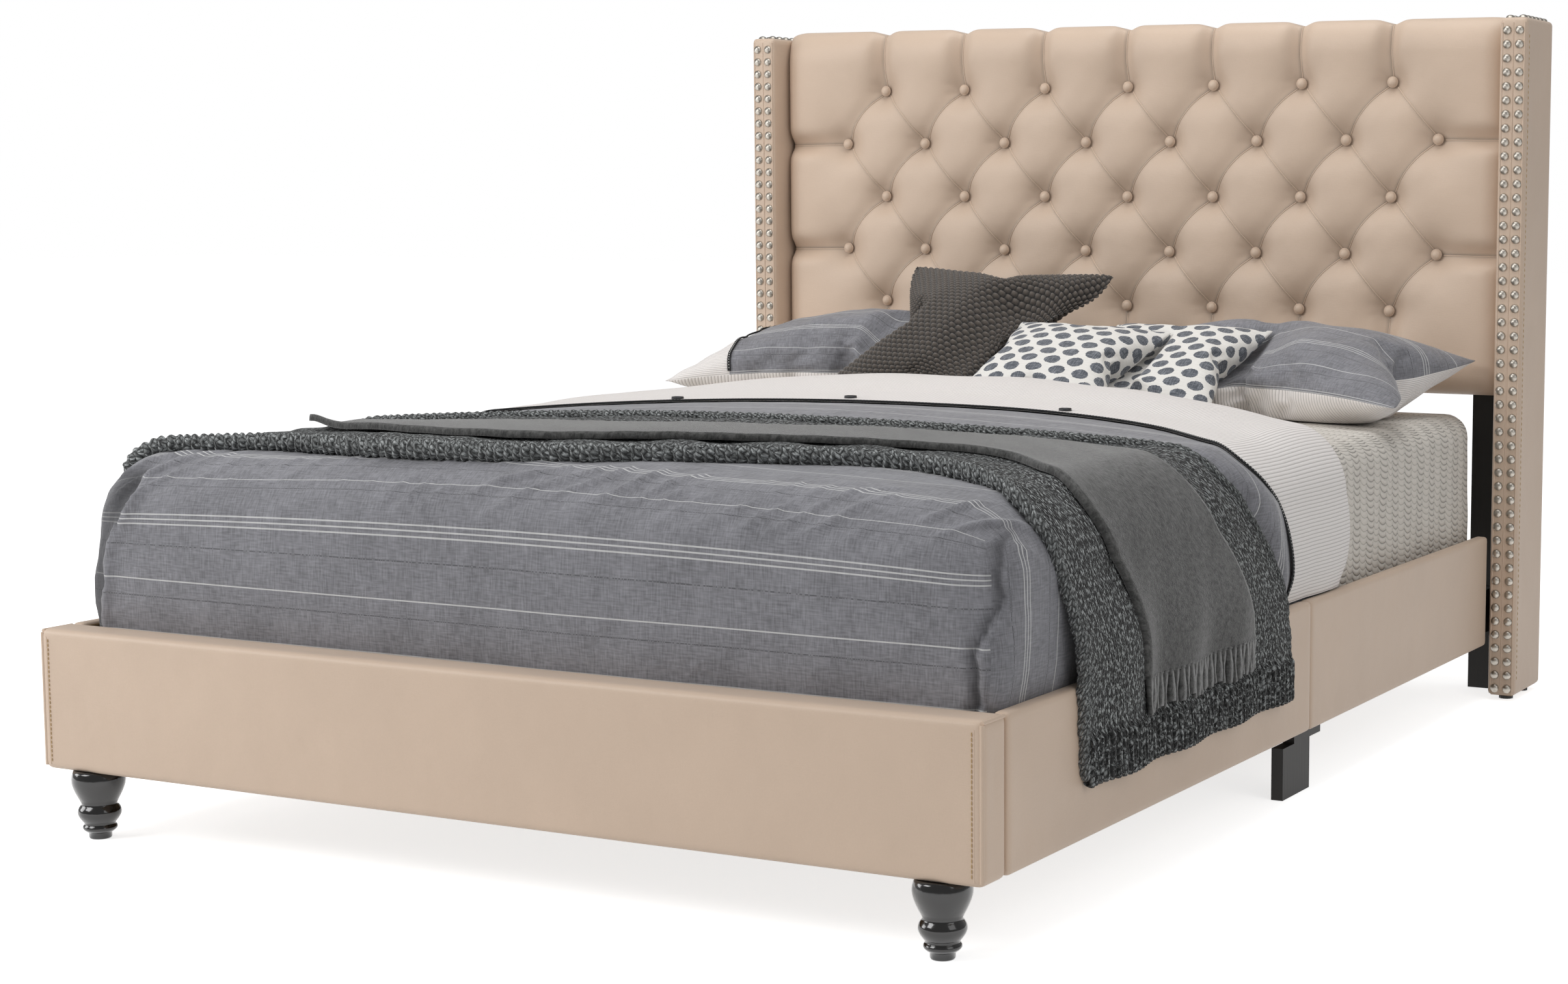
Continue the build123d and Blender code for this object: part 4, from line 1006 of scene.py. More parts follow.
class BED_OT_headboard(bpy.types.Operator):
    """Makes the buttoned pad and its covered buttons"""

    bl_idname = "bed.headboard"
    bl_label = "Buttoned headboard"

    def execute(self, context):
        cover = finish(leatherette)
        pad = piece("buttoned_pad", tufted_pad(), [cover], FRAME, ["tufted_pad"])
        # The lips get no painted shade. The gaps are thin cords painted dark all through, as the shadow
        # inside each pleat.
        cords = (("pleat_lips", 0.0013, 0.0016, 0.0), ("pleat_shadow_cords", 0.0009, 0.0, 1.0))
        for name, radius, aside, deep in cords:
            mesh = pleat_cords(radius, aside)
            mark(mesh, "pleat_shade", np.full(len(mesh.vertices), deep))
            piece(name, mesh, [cover], FRAME)
        face, radius = pad_sizes()[3], sizes().button_radius
        centres = [(x, face - 0.0095, height) for row, height in button_rows() for x in row]
        places = [Matrix.Translation(centre) @ TO_FOOT for centre in centres]
        mesh = beads("covered_buttons", places, radius, 20, 12, 0.0085)
        piece("covered_buttons", mesh, [cover], FRAME, ["panel_buttons"])
        turn = np.linspace(0, 2 * math.pi, 17)[:-1]
        ring = np.column_stack((np.cos(turn), 0 * turn, np.sin(turn))) * radius
        rims = [rope_mesh("button_rim", ring + np.array(at), 0.0013, sides=4, closed=True) for at in centres]
        piece("button_rims", joined("button_rims", rims), [cover], FRAME)
        return {"FINISHED"}


class BED_OT_wings(bpy.types.Operator):
    """Makes the padded wings with their seams and nails"""

    bl_idname = "bed.wings"
    bl_label = "Wings and nails"

    def execute(self, context):
        cover = finish(leatherette)
        for side, label in ((1, "right"), (-1, "left")):
            node, name = label + "_wing_cover", label + "_wing_padding"
            low, high = padded_board(name, node, (10, 18, 60), 0.009, 0.0007, 3 + side)
            # Piping near both edges of the front, and a thinner seam between the nail columns.
            runs = [(x, low[1] + 0.0015, 0.004, 0.0022) for x in (low[0] + 0.0055, high[0] - 0.0055)]
            runs.append(((low[0] + high[0]) / 2, low[1] + 0.0003, 0.01, 0.0012))
            seams = []
            for x, y, gap, radius in runs:
                seams.append(straight_cord("seam", (x, y, low[2] + gap), (x, y, high[2] - 0.01), radius))
            name = label + "_wing_piping"
            piece(name, joined(name, seams), [cover], FRAME)
            x = high[0] - 0.0002 if side > 0 else low[0] + 0.0002
            start, end = ((x, low[1] + 0.014, z) for z in (low[2] + 0.03, high[2] - 0.03))
            name = label + "_wing_stitches"
            mesh = stitch_row(name, start, end, (side, 0, 0), sizes().stitch_pitch * 1.6)
            piece(name, mesh, [finish(thread)], FRAME)
        low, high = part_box("right_wing_cover")
        middle = (low[0] + high[0]) / 2
        places = []
        for x in (middle - 0.0125, middle + 0.0125, -middle - 0.0125, -middle + 0.0125):
            for row in range(49):
                nudge = 0.0006 * math.sin(row * 12.9898 + x * 78.2)
                spot = (x + nudge, low[1] + 0.0004, low[2] + 0.014 + row * NAIL_STEP)
                places.append(Matrix.Translation(spot) @ TO_FOOT)
            for row in range(6):
                places.append(Matrix.Translation((x, low[1] + 0.0204 + row * NAIL_STEP, high[2] - 0.0006)))
        mesh = beads("pewter_nails", places, sizes().nail_radius, 12, 8, 0.0062)
        piece("pewter_nails", mesh, [finish(pewter)], FRAME, ["nailheads"])
        return {"FINISHED"}


# The footboard, feet and rails


def turned_foot(centre):
    """A bun foot spun from its profile: a ball over two rings and a pad."""
    runs = (
        ((0.43, 0.08), (0.645, 0.15), (0.565, 0.215)),
        ((0.565, 0.215), (0.82, 0.375), (0.655, 0.51)),
        ((0.655, 0.51), (1.0, 0.8), (0.92, 1.0)),
    )
    radius, height = 0.039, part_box("right_foot")[1][2]
    profile = [(0.0, 0.0), (0.4 * radius, 0.0), (0.43 * radius, 0.002)]
    for (x0, z0), (x1, z1), (x2, z2) in runs:
        bend = ((x1 - (x0 + x2) / 2) * radius, (z1 - (z0 + z2) / 2) * height)
        for share in np.linspace(0, 1, 11)[:-1]:
            lift = math.sin(math.pi * share)
            x, z = (x0 + (x2 - x0) * share) * radius, (z0 + (z2 - z0) * share) * height
            profile.append((x + bend[0] * lift, z + bend[1] * lift))
    profile += [(0.92 * radius, height), (0.0, height)]
    bm = bmesh.new()
    verts = [bm.verts.new((x, 0, z)) for x, z in profile]
    edges = [bm.edges.new(pair) for pair in zip(verts, verts[1:])]
    spun = {"cent": (0, 0, 0), "axis": (0, 0, 1), "angle": 2 * math.pi, "steps": 56, "use_merge": True}
    bmesh.ops.spin(bm, geom=verts + edges, **spun)
    bmesh.ops.remove_doubles(bm, verts=bm.verts, dist=1e-5)
    bmesh.ops.recalc_face_normals(bm, faces=bm.faces)
    bmesh.ops.translate(bm, vec=centre, verts=bm.verts)
    return as_mesh(bm, "turned_foot")


class BED_OT_footboard(bpy.types.Operator):
    """Makes the padded footboard with its end seams, and the turned feet"""

    bl_idname = "bed.footboard"
    bl_label = "Footboard and feet"

    def execute(self, context):
        cover = finish(leatherette)
        low, high = padded_board("footboard_padding", "footboard_cover", (90, 14, 26), 0.011, 0.0011, 21)
        welts, stitches = [], []
        for side in (-1, 1):
            end = high[0] if side > 0 else low[0]
            # A welt up the front corner, one along the top corner, and a seam beside the first.
            x, y, z = end - side * 0.0035, low[1] + 0.0035, high[2] - 0.0035
            welts.append(straight_cord("welt", (x, y, low[2] + 0.006), (x, y, high[2] - 0.006), 0.0034))
            welts.append(straight_cord("welt", (x, low[1] + 0.004, z), (x, high[1] - 0.004, z), 0.003))
            x, y = end - side * 0.0135, low[1] + 0.0012
            welts.append(straight_cord("welt", (x, y, low[2] + 0.008), (x, y, high[2] - 0.012), 0.0018))
            x, y = end - side * 0.0165, low[1] - 0.0002
            start, stop = (x, y, low[2] + 0.012), (x, y, high[2] - 0.014)
            stitches.append(stitch_row("stitches", start, stop, (0, -1, 0), sizes().stitch_pitch))
        piece("footboard_welts", joined("footboard_welts", welts), [cover], FRAME)
        mesh = joined("footboard_stitches", stitches)
        piece("footboard_stitches", mesh, [finish(thread)], FRAME)
        for node in ("right_foot", "left_foot"):
            low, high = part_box(node)
            centre = ((low[0] + high[0]) / 2, (low[1] + high[1]) / 2, 0)
            piece(node + "_turning", turned_foot(centre), [finish(lacquer)], FRAME, [node])
        return {"FINISHED"}


class BED_OT_rails(bpy.types.Operator):
    """Makes the padded side rails, in two lengths a side"""

    bl_idname = "bed.rails"
    bl_label = "Side rails"

    def execute(self, context):
        for name, seed in (("right_front", 27), ("right_rear", 26), ("left_front", 25), ("left_rear", 24)):
            padding, node = name + "_rail_padding", name + "_rail_cover"
            padded_board(padding, node, (8, 50, 22), 0.007, 0.0009, seed)
        return {"FINISHED"}


class BED_OT_timber(bpy.types.Operator):
    """Finishes the boards, slats, fittings and bolts that the cover hides"""

    bl_idname = "bed.timber"
    bl_label = "Timber and fittings"

    def execute(self, context):
        looks = {
            "black_wood": finish(painted_wood),
            "dust_cloth": finish(dust_cloth),
            "glide_plastic": finish(moulded_nylon),
            "bolt_steel": finish(zinc),
            "black_steel": finish(powder_coat),
            "slat_wood": finish(bare_wood, "poplar_slats", 1.1, 0),
        }
        upright = {"headboard_centre_stile", "right_wing_core", "left_wing_core", "centre_legs"}
        across = {"headboard_top_rail", "headboard_bottom_rail", "headboard_lower_rail"}
        across |= {"panel_board", "footboard_core"}
        for row in frame["record"]["subparts"]:
            node, slot = row["node"], row["material_slot"]
            look = looks.get(slot)
            if slot == "timber":
                along = 2 if node in upright else 0 if node in across else 1
                look = finish(bare_wood, f"planed_pine_{'xyz'[along]}", 1.0, along)
            if look:
                for place in frame["nodes"][node].material_slots:
                    place.material = look
        return {"FINISHED"}


# Mattress, coverlet, duvet


class BED_OT_mattress(bpy.types.Operator):
    """Makes the mattress and the coverlet that is tucked in round it"""

    bl_idname = "bed.mattress"
    bl_label = "Mattress and coverlet"

    def execute(self, context):
        low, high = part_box("mattress")
        mesh = as_mesh(cell_box(low, high, (60, 80, 14)), "mattress")
        points = points_of(mesh)
        points = rounded(points, low, high, self.softer(points))
        set_points(mesh, points)
        belly = 0.002 * np.sin(np.pi * (points[:, 2] - low[2]) / (high[2] - low[2]))
        side = normals_of(mesh) * np.array([1, 1, 0])
        set_points(mesh, points + side * (belly - 0.007)[:, None])
        bed = piece("sprung_mattress", mesh, [finish(ticking)], BEDDING, ["mattress"])
        tapes = []
        for z in (low[2] + 0.014, high[2] - 0.05):
            r = 0.06
            x, y0, y1 = high[0] - 0.012 - r, low[1] + 0.012 + r, high[1] - 0.012 - r
            corners = []
            for cx, cy, start in ((x, y1, 0), (-x, y1, 90), (-x, y0, 180), (x, y0, 270)):
                for angle in np.radians(np.linspace(start, start + 90, 7)):
                    corners.append((cx + r * math.cos(angle), cy + r * math.sin(angle), z))
            tapes.append(rope_mesh("tape", np.array(corners), 0.005, closed=True))
        tape = finish(plain_finish, "cotton_tape", "D8D4CC", 0.8, 2)
        piece("mattress_tapes", joined("mattress_tapes", tapes), [tape], BEDDING)
        low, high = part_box("coverlet")
        low = (low[0], low[1] + 0.004, low[2])
        mesh = as_mesh(cell_box(low, high, (120, 150, 22), skip=("-z",)), "coverlet")
        points = points_of(mesh)
        points = rounded(points, (low[0], low[1], low[2] - 0.2), high, self.softer(points))
        set_points(mesh, points)
        drop = eased(high[2] - points[:, 2], 0.0, 0.06)
        folds = 0.0022 * ripple(points, 0.13, 5, stretch=(0.3, 1, 0.3)) * drop
        folds = folds + 0.0012 * ripple(points, 0.2, 6)
        set_points(mesh, points + normals_of(mesh) * (folds - 0.0018)[:, None])
        cover = piece("quilted_coverlet", mesh, [finish(matelasse)], BEDDING, ["coverlet"])
        return {"FINISHED"}

    def softer(self, points):
        """Radius of the edges, larger where the duvet presses on them."""
        return (0.05 + 0.044 * (1 - eased(points[:, 1], FOOT_FACE + 1.15, FOOT_FACE + 1.36)))[:, None]


def bed_crown(y):
    """How much higher the duvet is in its middle than at its sides, for places from the foot face."""
    return 0.024 + 0.009 * eased(y, 0.1, 0.4) + 0.012 * eased(y, 0.74, 0.95)


def over_bed(run, crown, lift):
    """Place (x, z) for a run along the duvet's outline from its middle, its outward way, and its drop."""
    side, run = np.sign(run), np.abs(run)
    flat = HALF - TURN
    angle = np.clip((run - flat) / TURN, 0, math.pi / 2)
    down = np.clip(run - flat - AROUND, 0, None)
    out_x, out_z = np.sin(angle), np.cos(angle)
    x = np.minimum(run, flat) + TURN * out_x
    z = TOP - TURN + TURN * out_z - down + crown * (1 - np.minimum(1, x / HALF) ** 2)
    return side * (x + lift * out_x), z + lift * out_z, side * out_x, out_z, down


def outline_run(x, z):
    """How far a place on the duvet is along its outline from the middle."""
    across, up = np.abs(x) - HALF + TURN, z - TOP + TURN
    turn = np.arctan2(np.maximum(across, 0), np.maximum(up, 1e-6))
    return np.sign(x) * (np.minimum(np.abs(x), HALF - TURN) + TURN * turn + np.maximum(-up, 0))


def band_edges(run):
    """Front and rear edge of the turned-back band, from the foot face."""
    front = through(
        run,
        (-1.05, -0.8, -0.5, -0.2, 0.1, 0.37, 0.57, 0.69, 0.75, 0.8, 0.84, 0.9, 0.95, 1.05),
        (0.98, 0.95, 0.98, 1.02, 1.06, 1.09, 1.05, 0.975, 0.95, 0.985, 1.025, 1.055, 1.068, 1.03),
    )
    rear = through(
        run,
        (-1.05, -0.8, -0.3, 0, 0.3, 0.6, 0.76, 0.9, 1.05),
        (1.3, 1.35, 1.45, 1.46, 1.45, 1.39, 1.34, 1.335, 1.295),
    )
    return front, rear


def duvet_edge(x, z):
    """How far towards the head the duvet reaches."""
    return FOOT_FACE + band_edges(outline_run(x, z))[1]


def duvet_box():
    """The lowest and highest corners of the duvet before it is shaped."""
    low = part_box("duvet")[0]
    return (-HALF, low[1] + 0.002, low[2]), (HALF, FOOT_FACE + 1.46, TOP)


def duvet_swell(points):
    """Soft bulges of the duvet, the short slanted tugs along its foot edge, and the roll before the band."""
    low = duvet_box()[0]
    depth = sizes().duvet_crumple
    y = points[:, 1] - FOOT_FACE
    swell = depth * 0.5 * ripple(points, 0.42, 11) + depth * 0.22 * ripple(points, 0.17, 12)
    swell = swell * (1 - eased(y, 0.9, 1.0))
    # The tugs are 56 mm apart along the foot edge and lean as they run over it.
    run = (points[:, 2] - 0.54) + (points[:, 1] - low[1])
    phase = (points[:, 0] - 0.8 * run) * 2 * math.pi / 0.056 + 3.2 * ripple(points, 0.3, 13)
    reach = eased(run, -0.05, 0.01) * (1 - eased(run, 0.1, 0.2))
    tugs = np.maximum(0, np.sin(phase)) ** 2 * np.clip(0.45 + 0.8 * ripple(points, 0.14, 14), 0, 1)
    along = outline_run(points[:, 0], points[:, 2])
    # At the right it rolls up between the knitted throw and the band.
    behind = y - knit_edges(along)[1] - 0.012
    before = y - band_edges(along)[0]
    roll = 0.011 * eased(behind, 0.005, 0.05) - 0.012 * np.exp(-((behind / 0.02) ** 2))
    roll = eased(along, 0.62, 0.8) * roll * (1 - eased(before, -0.05, 0.0))
    return swell + 0.0062 * tugs * reach - 0.0012 * reach + roll - 0.006 * eased(before, -0.01, 0.03)


def duvet_form(box):
    """The box's points rounded, bellied, crowned and drawn in at the head, and each one's share down."""
    low, high = duvet_box()
    # The upright corners are sharper low down.
    radius = (TURN * (0.5 + 0.5 * eased(box[:, 2], 0.34, 0.52)))[:, None]
    points = rounded(box, (low[0], low[1], low[2] - 0.3), high, radius)
    flank = np.clip((high[2] - points[:, 2]) / (high[2] - low[2]), 0, 1)
    foot = eased(-points[:, 1], -low[1] - 0.09, -low[1])
    belly = np.sin(np.pi * flank) * 0.007
    points[:, 1] += foot * (0.01 * (1 - flank) ** 3 - belly * 0.7)
    side = eased(np.abs(points[:, 0]), high[0] - 0.05, high[0])
    points[:, 0] += np.sign(points[:, 0]) * side * (belly - eased(flank, 0.72, 1.0) * 0.0065)
    crown = bed_crown(points[:, 1] - FOOT_FACE) * (1 - np.minimum(1, np.abs(points[:, 0]) / HALF) ** 2)
    points[:, 2] += crown * eased(points[:, 2], 0.4, 0.53)
    near_foot = 1 - eased(points[:, 1], low[1] + 0.03, low[1] + 0.16)
    points[:, 2] -= 0.006 * eased(points[:, 2], 0.5, 0.56) * near_foot
    # The head end is drawn in to its curved edge under the band.
    start = duvet_edge(points[:, 0], points[:, 2] - crown) - 0.15
    past = np.clip((points[:, 1] - start) / (high[1] - start), 0, 1)
    points[:, 1] = np.where(past > 0, start + 0.15 * past, points[:, 1])
    return points, flank


def corner_folds(points, flank):
    """The points with the foot corners folded, and the folds' shadow."""
    low = duvet_box()[0]
    x, y, z = points.T
    # At the left the foot panel's edge laps over the side, and at the right the side over the foot panel.
    left = x < 0
    left_line = 0.737 - 0.08 * eased(z, 0.4, 0.6)
    right_line = 0.752 + 0.02 * np.exp(-(((z - 0.48) / 0.07) ** 2))
    line = np.where(left, left_line, right_line)
    past = np.abs(x) - line - 0.004 * np.sin(z * 60) - 0.002 * np.sin(z * 141)
    lower = eased(-y, -low[1] - 0.12, -low[1] - 0.03) * eased(flank, 0.02, 0.1)
    inward = 0.0105 * eased(past, 0.0, 0.006) * (1 - eased(past, 0.02, 0.06))
    inward = inward - 0.006 * np.exp(-(((past + 0.008) / 0.009) ** 2))
    outward = 0.009 * np.exp(-((past / 0.007) ** 2)) - 0.008 * np.exp(-(((past - 0.017) / 0.011) ** 2))
    behind_flap = eased(past, -0.001, 0.006) * (1 - 0.6 * eased(past, 0.02, 0.09))
    shadow = np.where(left, behind_flap, 0.8 * np.exp(-((past / 0.006) ** 2)))
    folded = np.column_stack((x, y + lower * np.where(left, inward, outward), z))
    return folded, lower * shadow * 0.75


class BED_OT_duvet(bpy.types.Operator):
    """Makes the duvet and its turned-back head end with buttons and braid"""

    bl_idname = "bed.duvet"
    bl_label = "Duvet"

    def execute(self, context):
        low, high = duvet_box()
        mesh = as_mesh(cell_box(low, high, (210, 120, 24), skip=("-z",), gather=0.5), "duvet")
        # The first white stripe lies on the foot edge.
        shift_cloth(mesh, 0.0095 - low[1])
        points, flank = duvet_form(points_of(mesh))
        set_points(mesh, points)
        points = points + normals_of(mesh) * duvet_swell(points)[:, None]
        points, shadow = corner_folds(points, flank)
        points[:, 2] = np.maximum(points[:, 2], low[2])
        set_points(mesh, points)
        mark(mesh, "pleat_shade", shadow)
        cover = piece("duvet_cover", mesh, [finish(chambray)], BEDDING, ["duvet"])
        thick = cover.modifiers.new("filling", "SOLIDIFY")
        thick.thickness = 0.012
        thick.offset = -1
        band_pieces()
        return {"FINISHED"}


def braid(name, line, out):
    """A flat braid along a line: two dark cords side by side."""
    along = np.gradient(line, axis=0)
    aside = np.cross(along, out)
    aside /= np.maximum(np.linalg.norm(aside, axis=1, keepdims=True), 1e-9)
    return joined(name, [rope_mesh(name, line + aside * way, 0.0017, sides=4) for way in (-0.0019, 0.0019)])


def trim(name, line, out):
    """A black braid with pale picks along a line."""
    black = finish(plain_finish, "black_cotton_braid", "17181A", 0.85, 1.5)
    white = finish(plain_finish, "white_braid_picks", "C9C9C6", 0.85, 1.5)
    piece(name, braid(name, line, out), [black], BEDDING)
    piece(name + "_picks", braid_picks(name + "_picks", line, out, 0.006), [white], BEDDING)


def horn():
    """Dark horn: polished, with streaks under the surface."""
    return plain_finish("dark_horn_buttons", "26272B", 0.3, 5)


def flat_buttons(name, places):
    """Turned buttons with a raised rim round a sunk middle."""
    bm = bmesh.new()
    bmesh.ops.create_cone(bm, segments=24, radius1=0.0112, radius2=0.0105, depth=0.004, cap_ends=True)
    bm.normal_update()
    cap = [face for face in bm.faces if face.normal.z > 0.9]
    bmesh.ops.inset_region(bm, faces=cap, thickness=0.0018, depth=0)
    bmesh.ops.inset_region(bm, faces=cap, thickness=0.001, depth=-0.0012)
    return scattered(name, as_mesh(bm, name + "_unit"), places)


def braid_picks(name, line, out, pitch):
    """The pale picks between the cords of a braid."""
    lengths = np.concatenate(([0], np.cumsum(np.linalg.norm(np.diff(line, axis=0), axis=1))))
    spots = np.arange(pitch, lengths[-1] - pitch, pitch)
    places = []
    for centre, facing in zip(along_path(spots, lengths, line), along_path(spots, lengths, out)):
        places.append(Matrix.Translation(Vector(centre) + Vector(facing) * 0.0009) @ facing_out(facing))
    return beads(name, places, 0.0012, 6, 4, 0.0011)


def band_surface(u, v):
    """Places on the turned-back band for shares along and across it, and their outward way."""
    flank = TOP - TURN - LIP
    run = (u - 0.5) * BAND_RUN
    x, z, out_x, out_z, down = over_bed(run, bed_crown(1.1), 0.0045)
    belly = 0.007 * np.sin(np.pi * np.clip(down / flank, 0, 1)) - 0.005 * eased(down / flank, 0.7, 1)
    front, rear = band_edges(run)
    turn = np.clip((v - BAND_FLAT) / (1 - BAND_FLAT), 0, 1)
    flat = np.clip(v / BAND_FLAT, 0, 1)
    y = front + (rear - BAND_TURN - front) * flat + 0.02 * np.sin(turn * math.pi * 0.5)
    under = (0.0265 + 0.016 * out_z) * (1 - np.cos(turn * math.pi * 0.62))
    puff = 0.019 * eased(v, 0.05, 0.75) * np.maximum(0, 1 - (x / 0.64) ** 2)
    puff = puff + 0.005 * np.sin(np.pi * np.clip((v - 0.3) / 0.55, 0, 1))
    puff = puff - 0.003 * (1 - np.clip(v / 0.03, 0, 1))
    wave = 0.0022 * ripple(np.column_stack((x, y * 0.4, z)), 0.22, 31) * eased(v, 0, 0.2)
    lift = puff + wave - under
    places = np.column_stack((x + out_x * lift + np.sign(x) * belly, FOOT_FACE + y, z + out_z * lift))
    return places, np.column_stack((out_x, 0 * x, out_z))


def band_spot(x, y):
    """Where a button sits on the band, y from the foot face."""
    front, rear = band_edges(np.array([x]))
    share = BAND_FLAT * (y - front) / (rear - BAND_TURN - front)
    places = band_surface(np.array([0.5 + x / BAND_RUN]), share)[0]
    return Matrix.Translation(places[0] + np.array([0, 0, 0.0022]))


def band_pieces():
    """The band, its buttons and its braid."""
    length, width = 2.0, 0.38

    def place(u, v):
        return band_surface(u, v)[0].T

    mesh = grid_mesh("band", 210, 44, place, lambda u, v: (u * length, v * width))
    band = piece("turned_back_band", mesh, [finish(ribbed_cotton)], BEDDING, ["duvet_band"])
    share = np.linspace(0.006, 0.994, 260)
    line, out = band_surface(share, 0 * share + 0.004)
    trim("band_braid", line + out * 0.002, out)
    places = [band_spot(x, y) for x, y in ((-0.35, 1.03), (-0.03, 1.085), (0.365, 1.12))]
    piece("band_buttons", flat_buttons("band_buttons", places), [finish(horn)], BEDDING)


# Throws


def throw_path(share, first, hang_x, hem, edges, across, lift):
    """Places along a throw, from its left end over the bed and past the rail, its outward way and its drop.

    first is how far the left end is from the bed's middle, hang_x where it hangs, and hem its lower end.
    """
    fall = TOP - TURN - hem
    total = first + HALF - TURN + AROUND + fall
    run = share * total - first
    front, rear = edges(run)
    y = front + (rear - front) * across
    x, z, out_x, out_z, down = over_bed(run, bed_crown(y), lift)
    bow = 0.008 * np.sin(np.pi * np.clip(down / 0.17, 0, 1))
    x = x + eased(down, 0.0, 0.17) * (hang_x - HALF - lift) + bow
    return x, FOOT_FACE + y, z, out_x, out_z, down


def knit_edges(run):
    """Front and rear edge of the knitted throw, from the foot face."""
    front = through(
        run,
        (-0.75, -0.5, -0.27, 0.0, 0.2, 0.39, 0.52, 0.656, 0.757, 0.854, 0.968, 1.2),
        (0.165, 0.195, 0.15, 0.16, 0.23, 0.305, 0.335, 0.28, 0.207, 0.236, 0.262, 0.288),
    )
    rear = through(
        run,
        (-0.75, -0.54, -0.2, 0.4, 0.69, 0.78, 0.82, 0.87, 0.92, 1.0, 1.2),
        (0.64, 0.66, 0.7, 0.76, 0.81, 0.825, 0.866, 0.917, 0.948, 0.983, 1.01),
    )
    return front, rear


def felt_edges(run):
    """Front and rear edge of the felt throw, from the foot face."""
    front = through(
        run,
        (-0.62, -0.34, -0.09, 0.12, 0.32, 0.48, 0.6, 0.71, 0.76, 0.824, 0.875, 0.936, 1.1),
        (0.4, 0.31, 0.28, 0.35, 0.43, 0.485, 0.465, 0.375, 0.345, 0.37, 0.405, 0.433, 0.47),
    )
    rear = through(
        run,
        (-0.62, -0.4, -0.2, -0.03, 0.16, 0.35, 0.6, 0.7, 0.76, 0.824, 0.872, 0.93, 1.0, 1.1),
        (0.52, 0.48, 0.465, 0.5, 0.56, 0.62, 0.675, 0.68, 0.675, 0.725, 0.772, 0.81, 0.848, 0.875),
    )
    return front, rear


def throw_fold(y, down):
    """The folds that both throws share where they hang."""
    return 0.006 * np.sin((y - FOOT_FACE) * 2 * math.pi / 0.19 + 0.8) * eased(down, 0.02, 0.24)


def cut_fringe(bottom):
    """Strips cut in the felt's end, side by side along its bottom edge."""
    count, length, thickness = 27, 0.05, 0.0052
    start, end = bottom[0, 1], bottom[-1, 1]
    step = (end - start) / count
    dice = np.random.default_rng(7)
    strips = bmesh.new()
    for number in range(count):
        y = start + (number + 0.5) * step
        x, z = np.interp(y, bottom[:, 1], bottom[:, 0]), np.interp(y, bottom[:, 1], bottom[:, 2])
        size = (thickness, step * dice.uniform(0.86, 0.94), length + dice.uniform(-0.005, 0.005))
        made = bmesh.ops.create_cube(strips, size=1)["verts"]
        bmesh.ops.scale(strips, vec=size, verts=made)
        bmesh.ops.translate(strips, vec=(0, 0, -size[2] / 2), verts=made)
        along, out = dice.uniform(-0.035, 0.035), dice.uniform(-0.05, 0.02)
        lean = Matrix.Rotation(along, 4, "X") @ Matrix.Rotation(out, 4, "Y")
        hung = Matrix.Translation((x - thickness / 2, y, z + 0.003))
        bmesh.ops.transform(strips, matrix=hung @ lean, verts=made)
    tall = [e for e in strips.edges if abs((e.verts[0].co - e.verts[1].co).z) > 0.03]
    bmesh.ops.subdivide_edges(strips, edges=tall, cuts=5, use_grid_fill=True)
    mesh = as_mesh(strips, "felt_fringe")
    points = points_of(mesh)
    loose = eased(bottom[:, 2].mean() - points[:, 2], 0, 0.03)
    points[:, 0] += 0.002 * np.sin(points[:, 1] * 210 + points[:, 2] * 60) * loose
    set_points(mesh, points)
    lay_flat(mesh, points[:, [1, 2]])
    return mesh


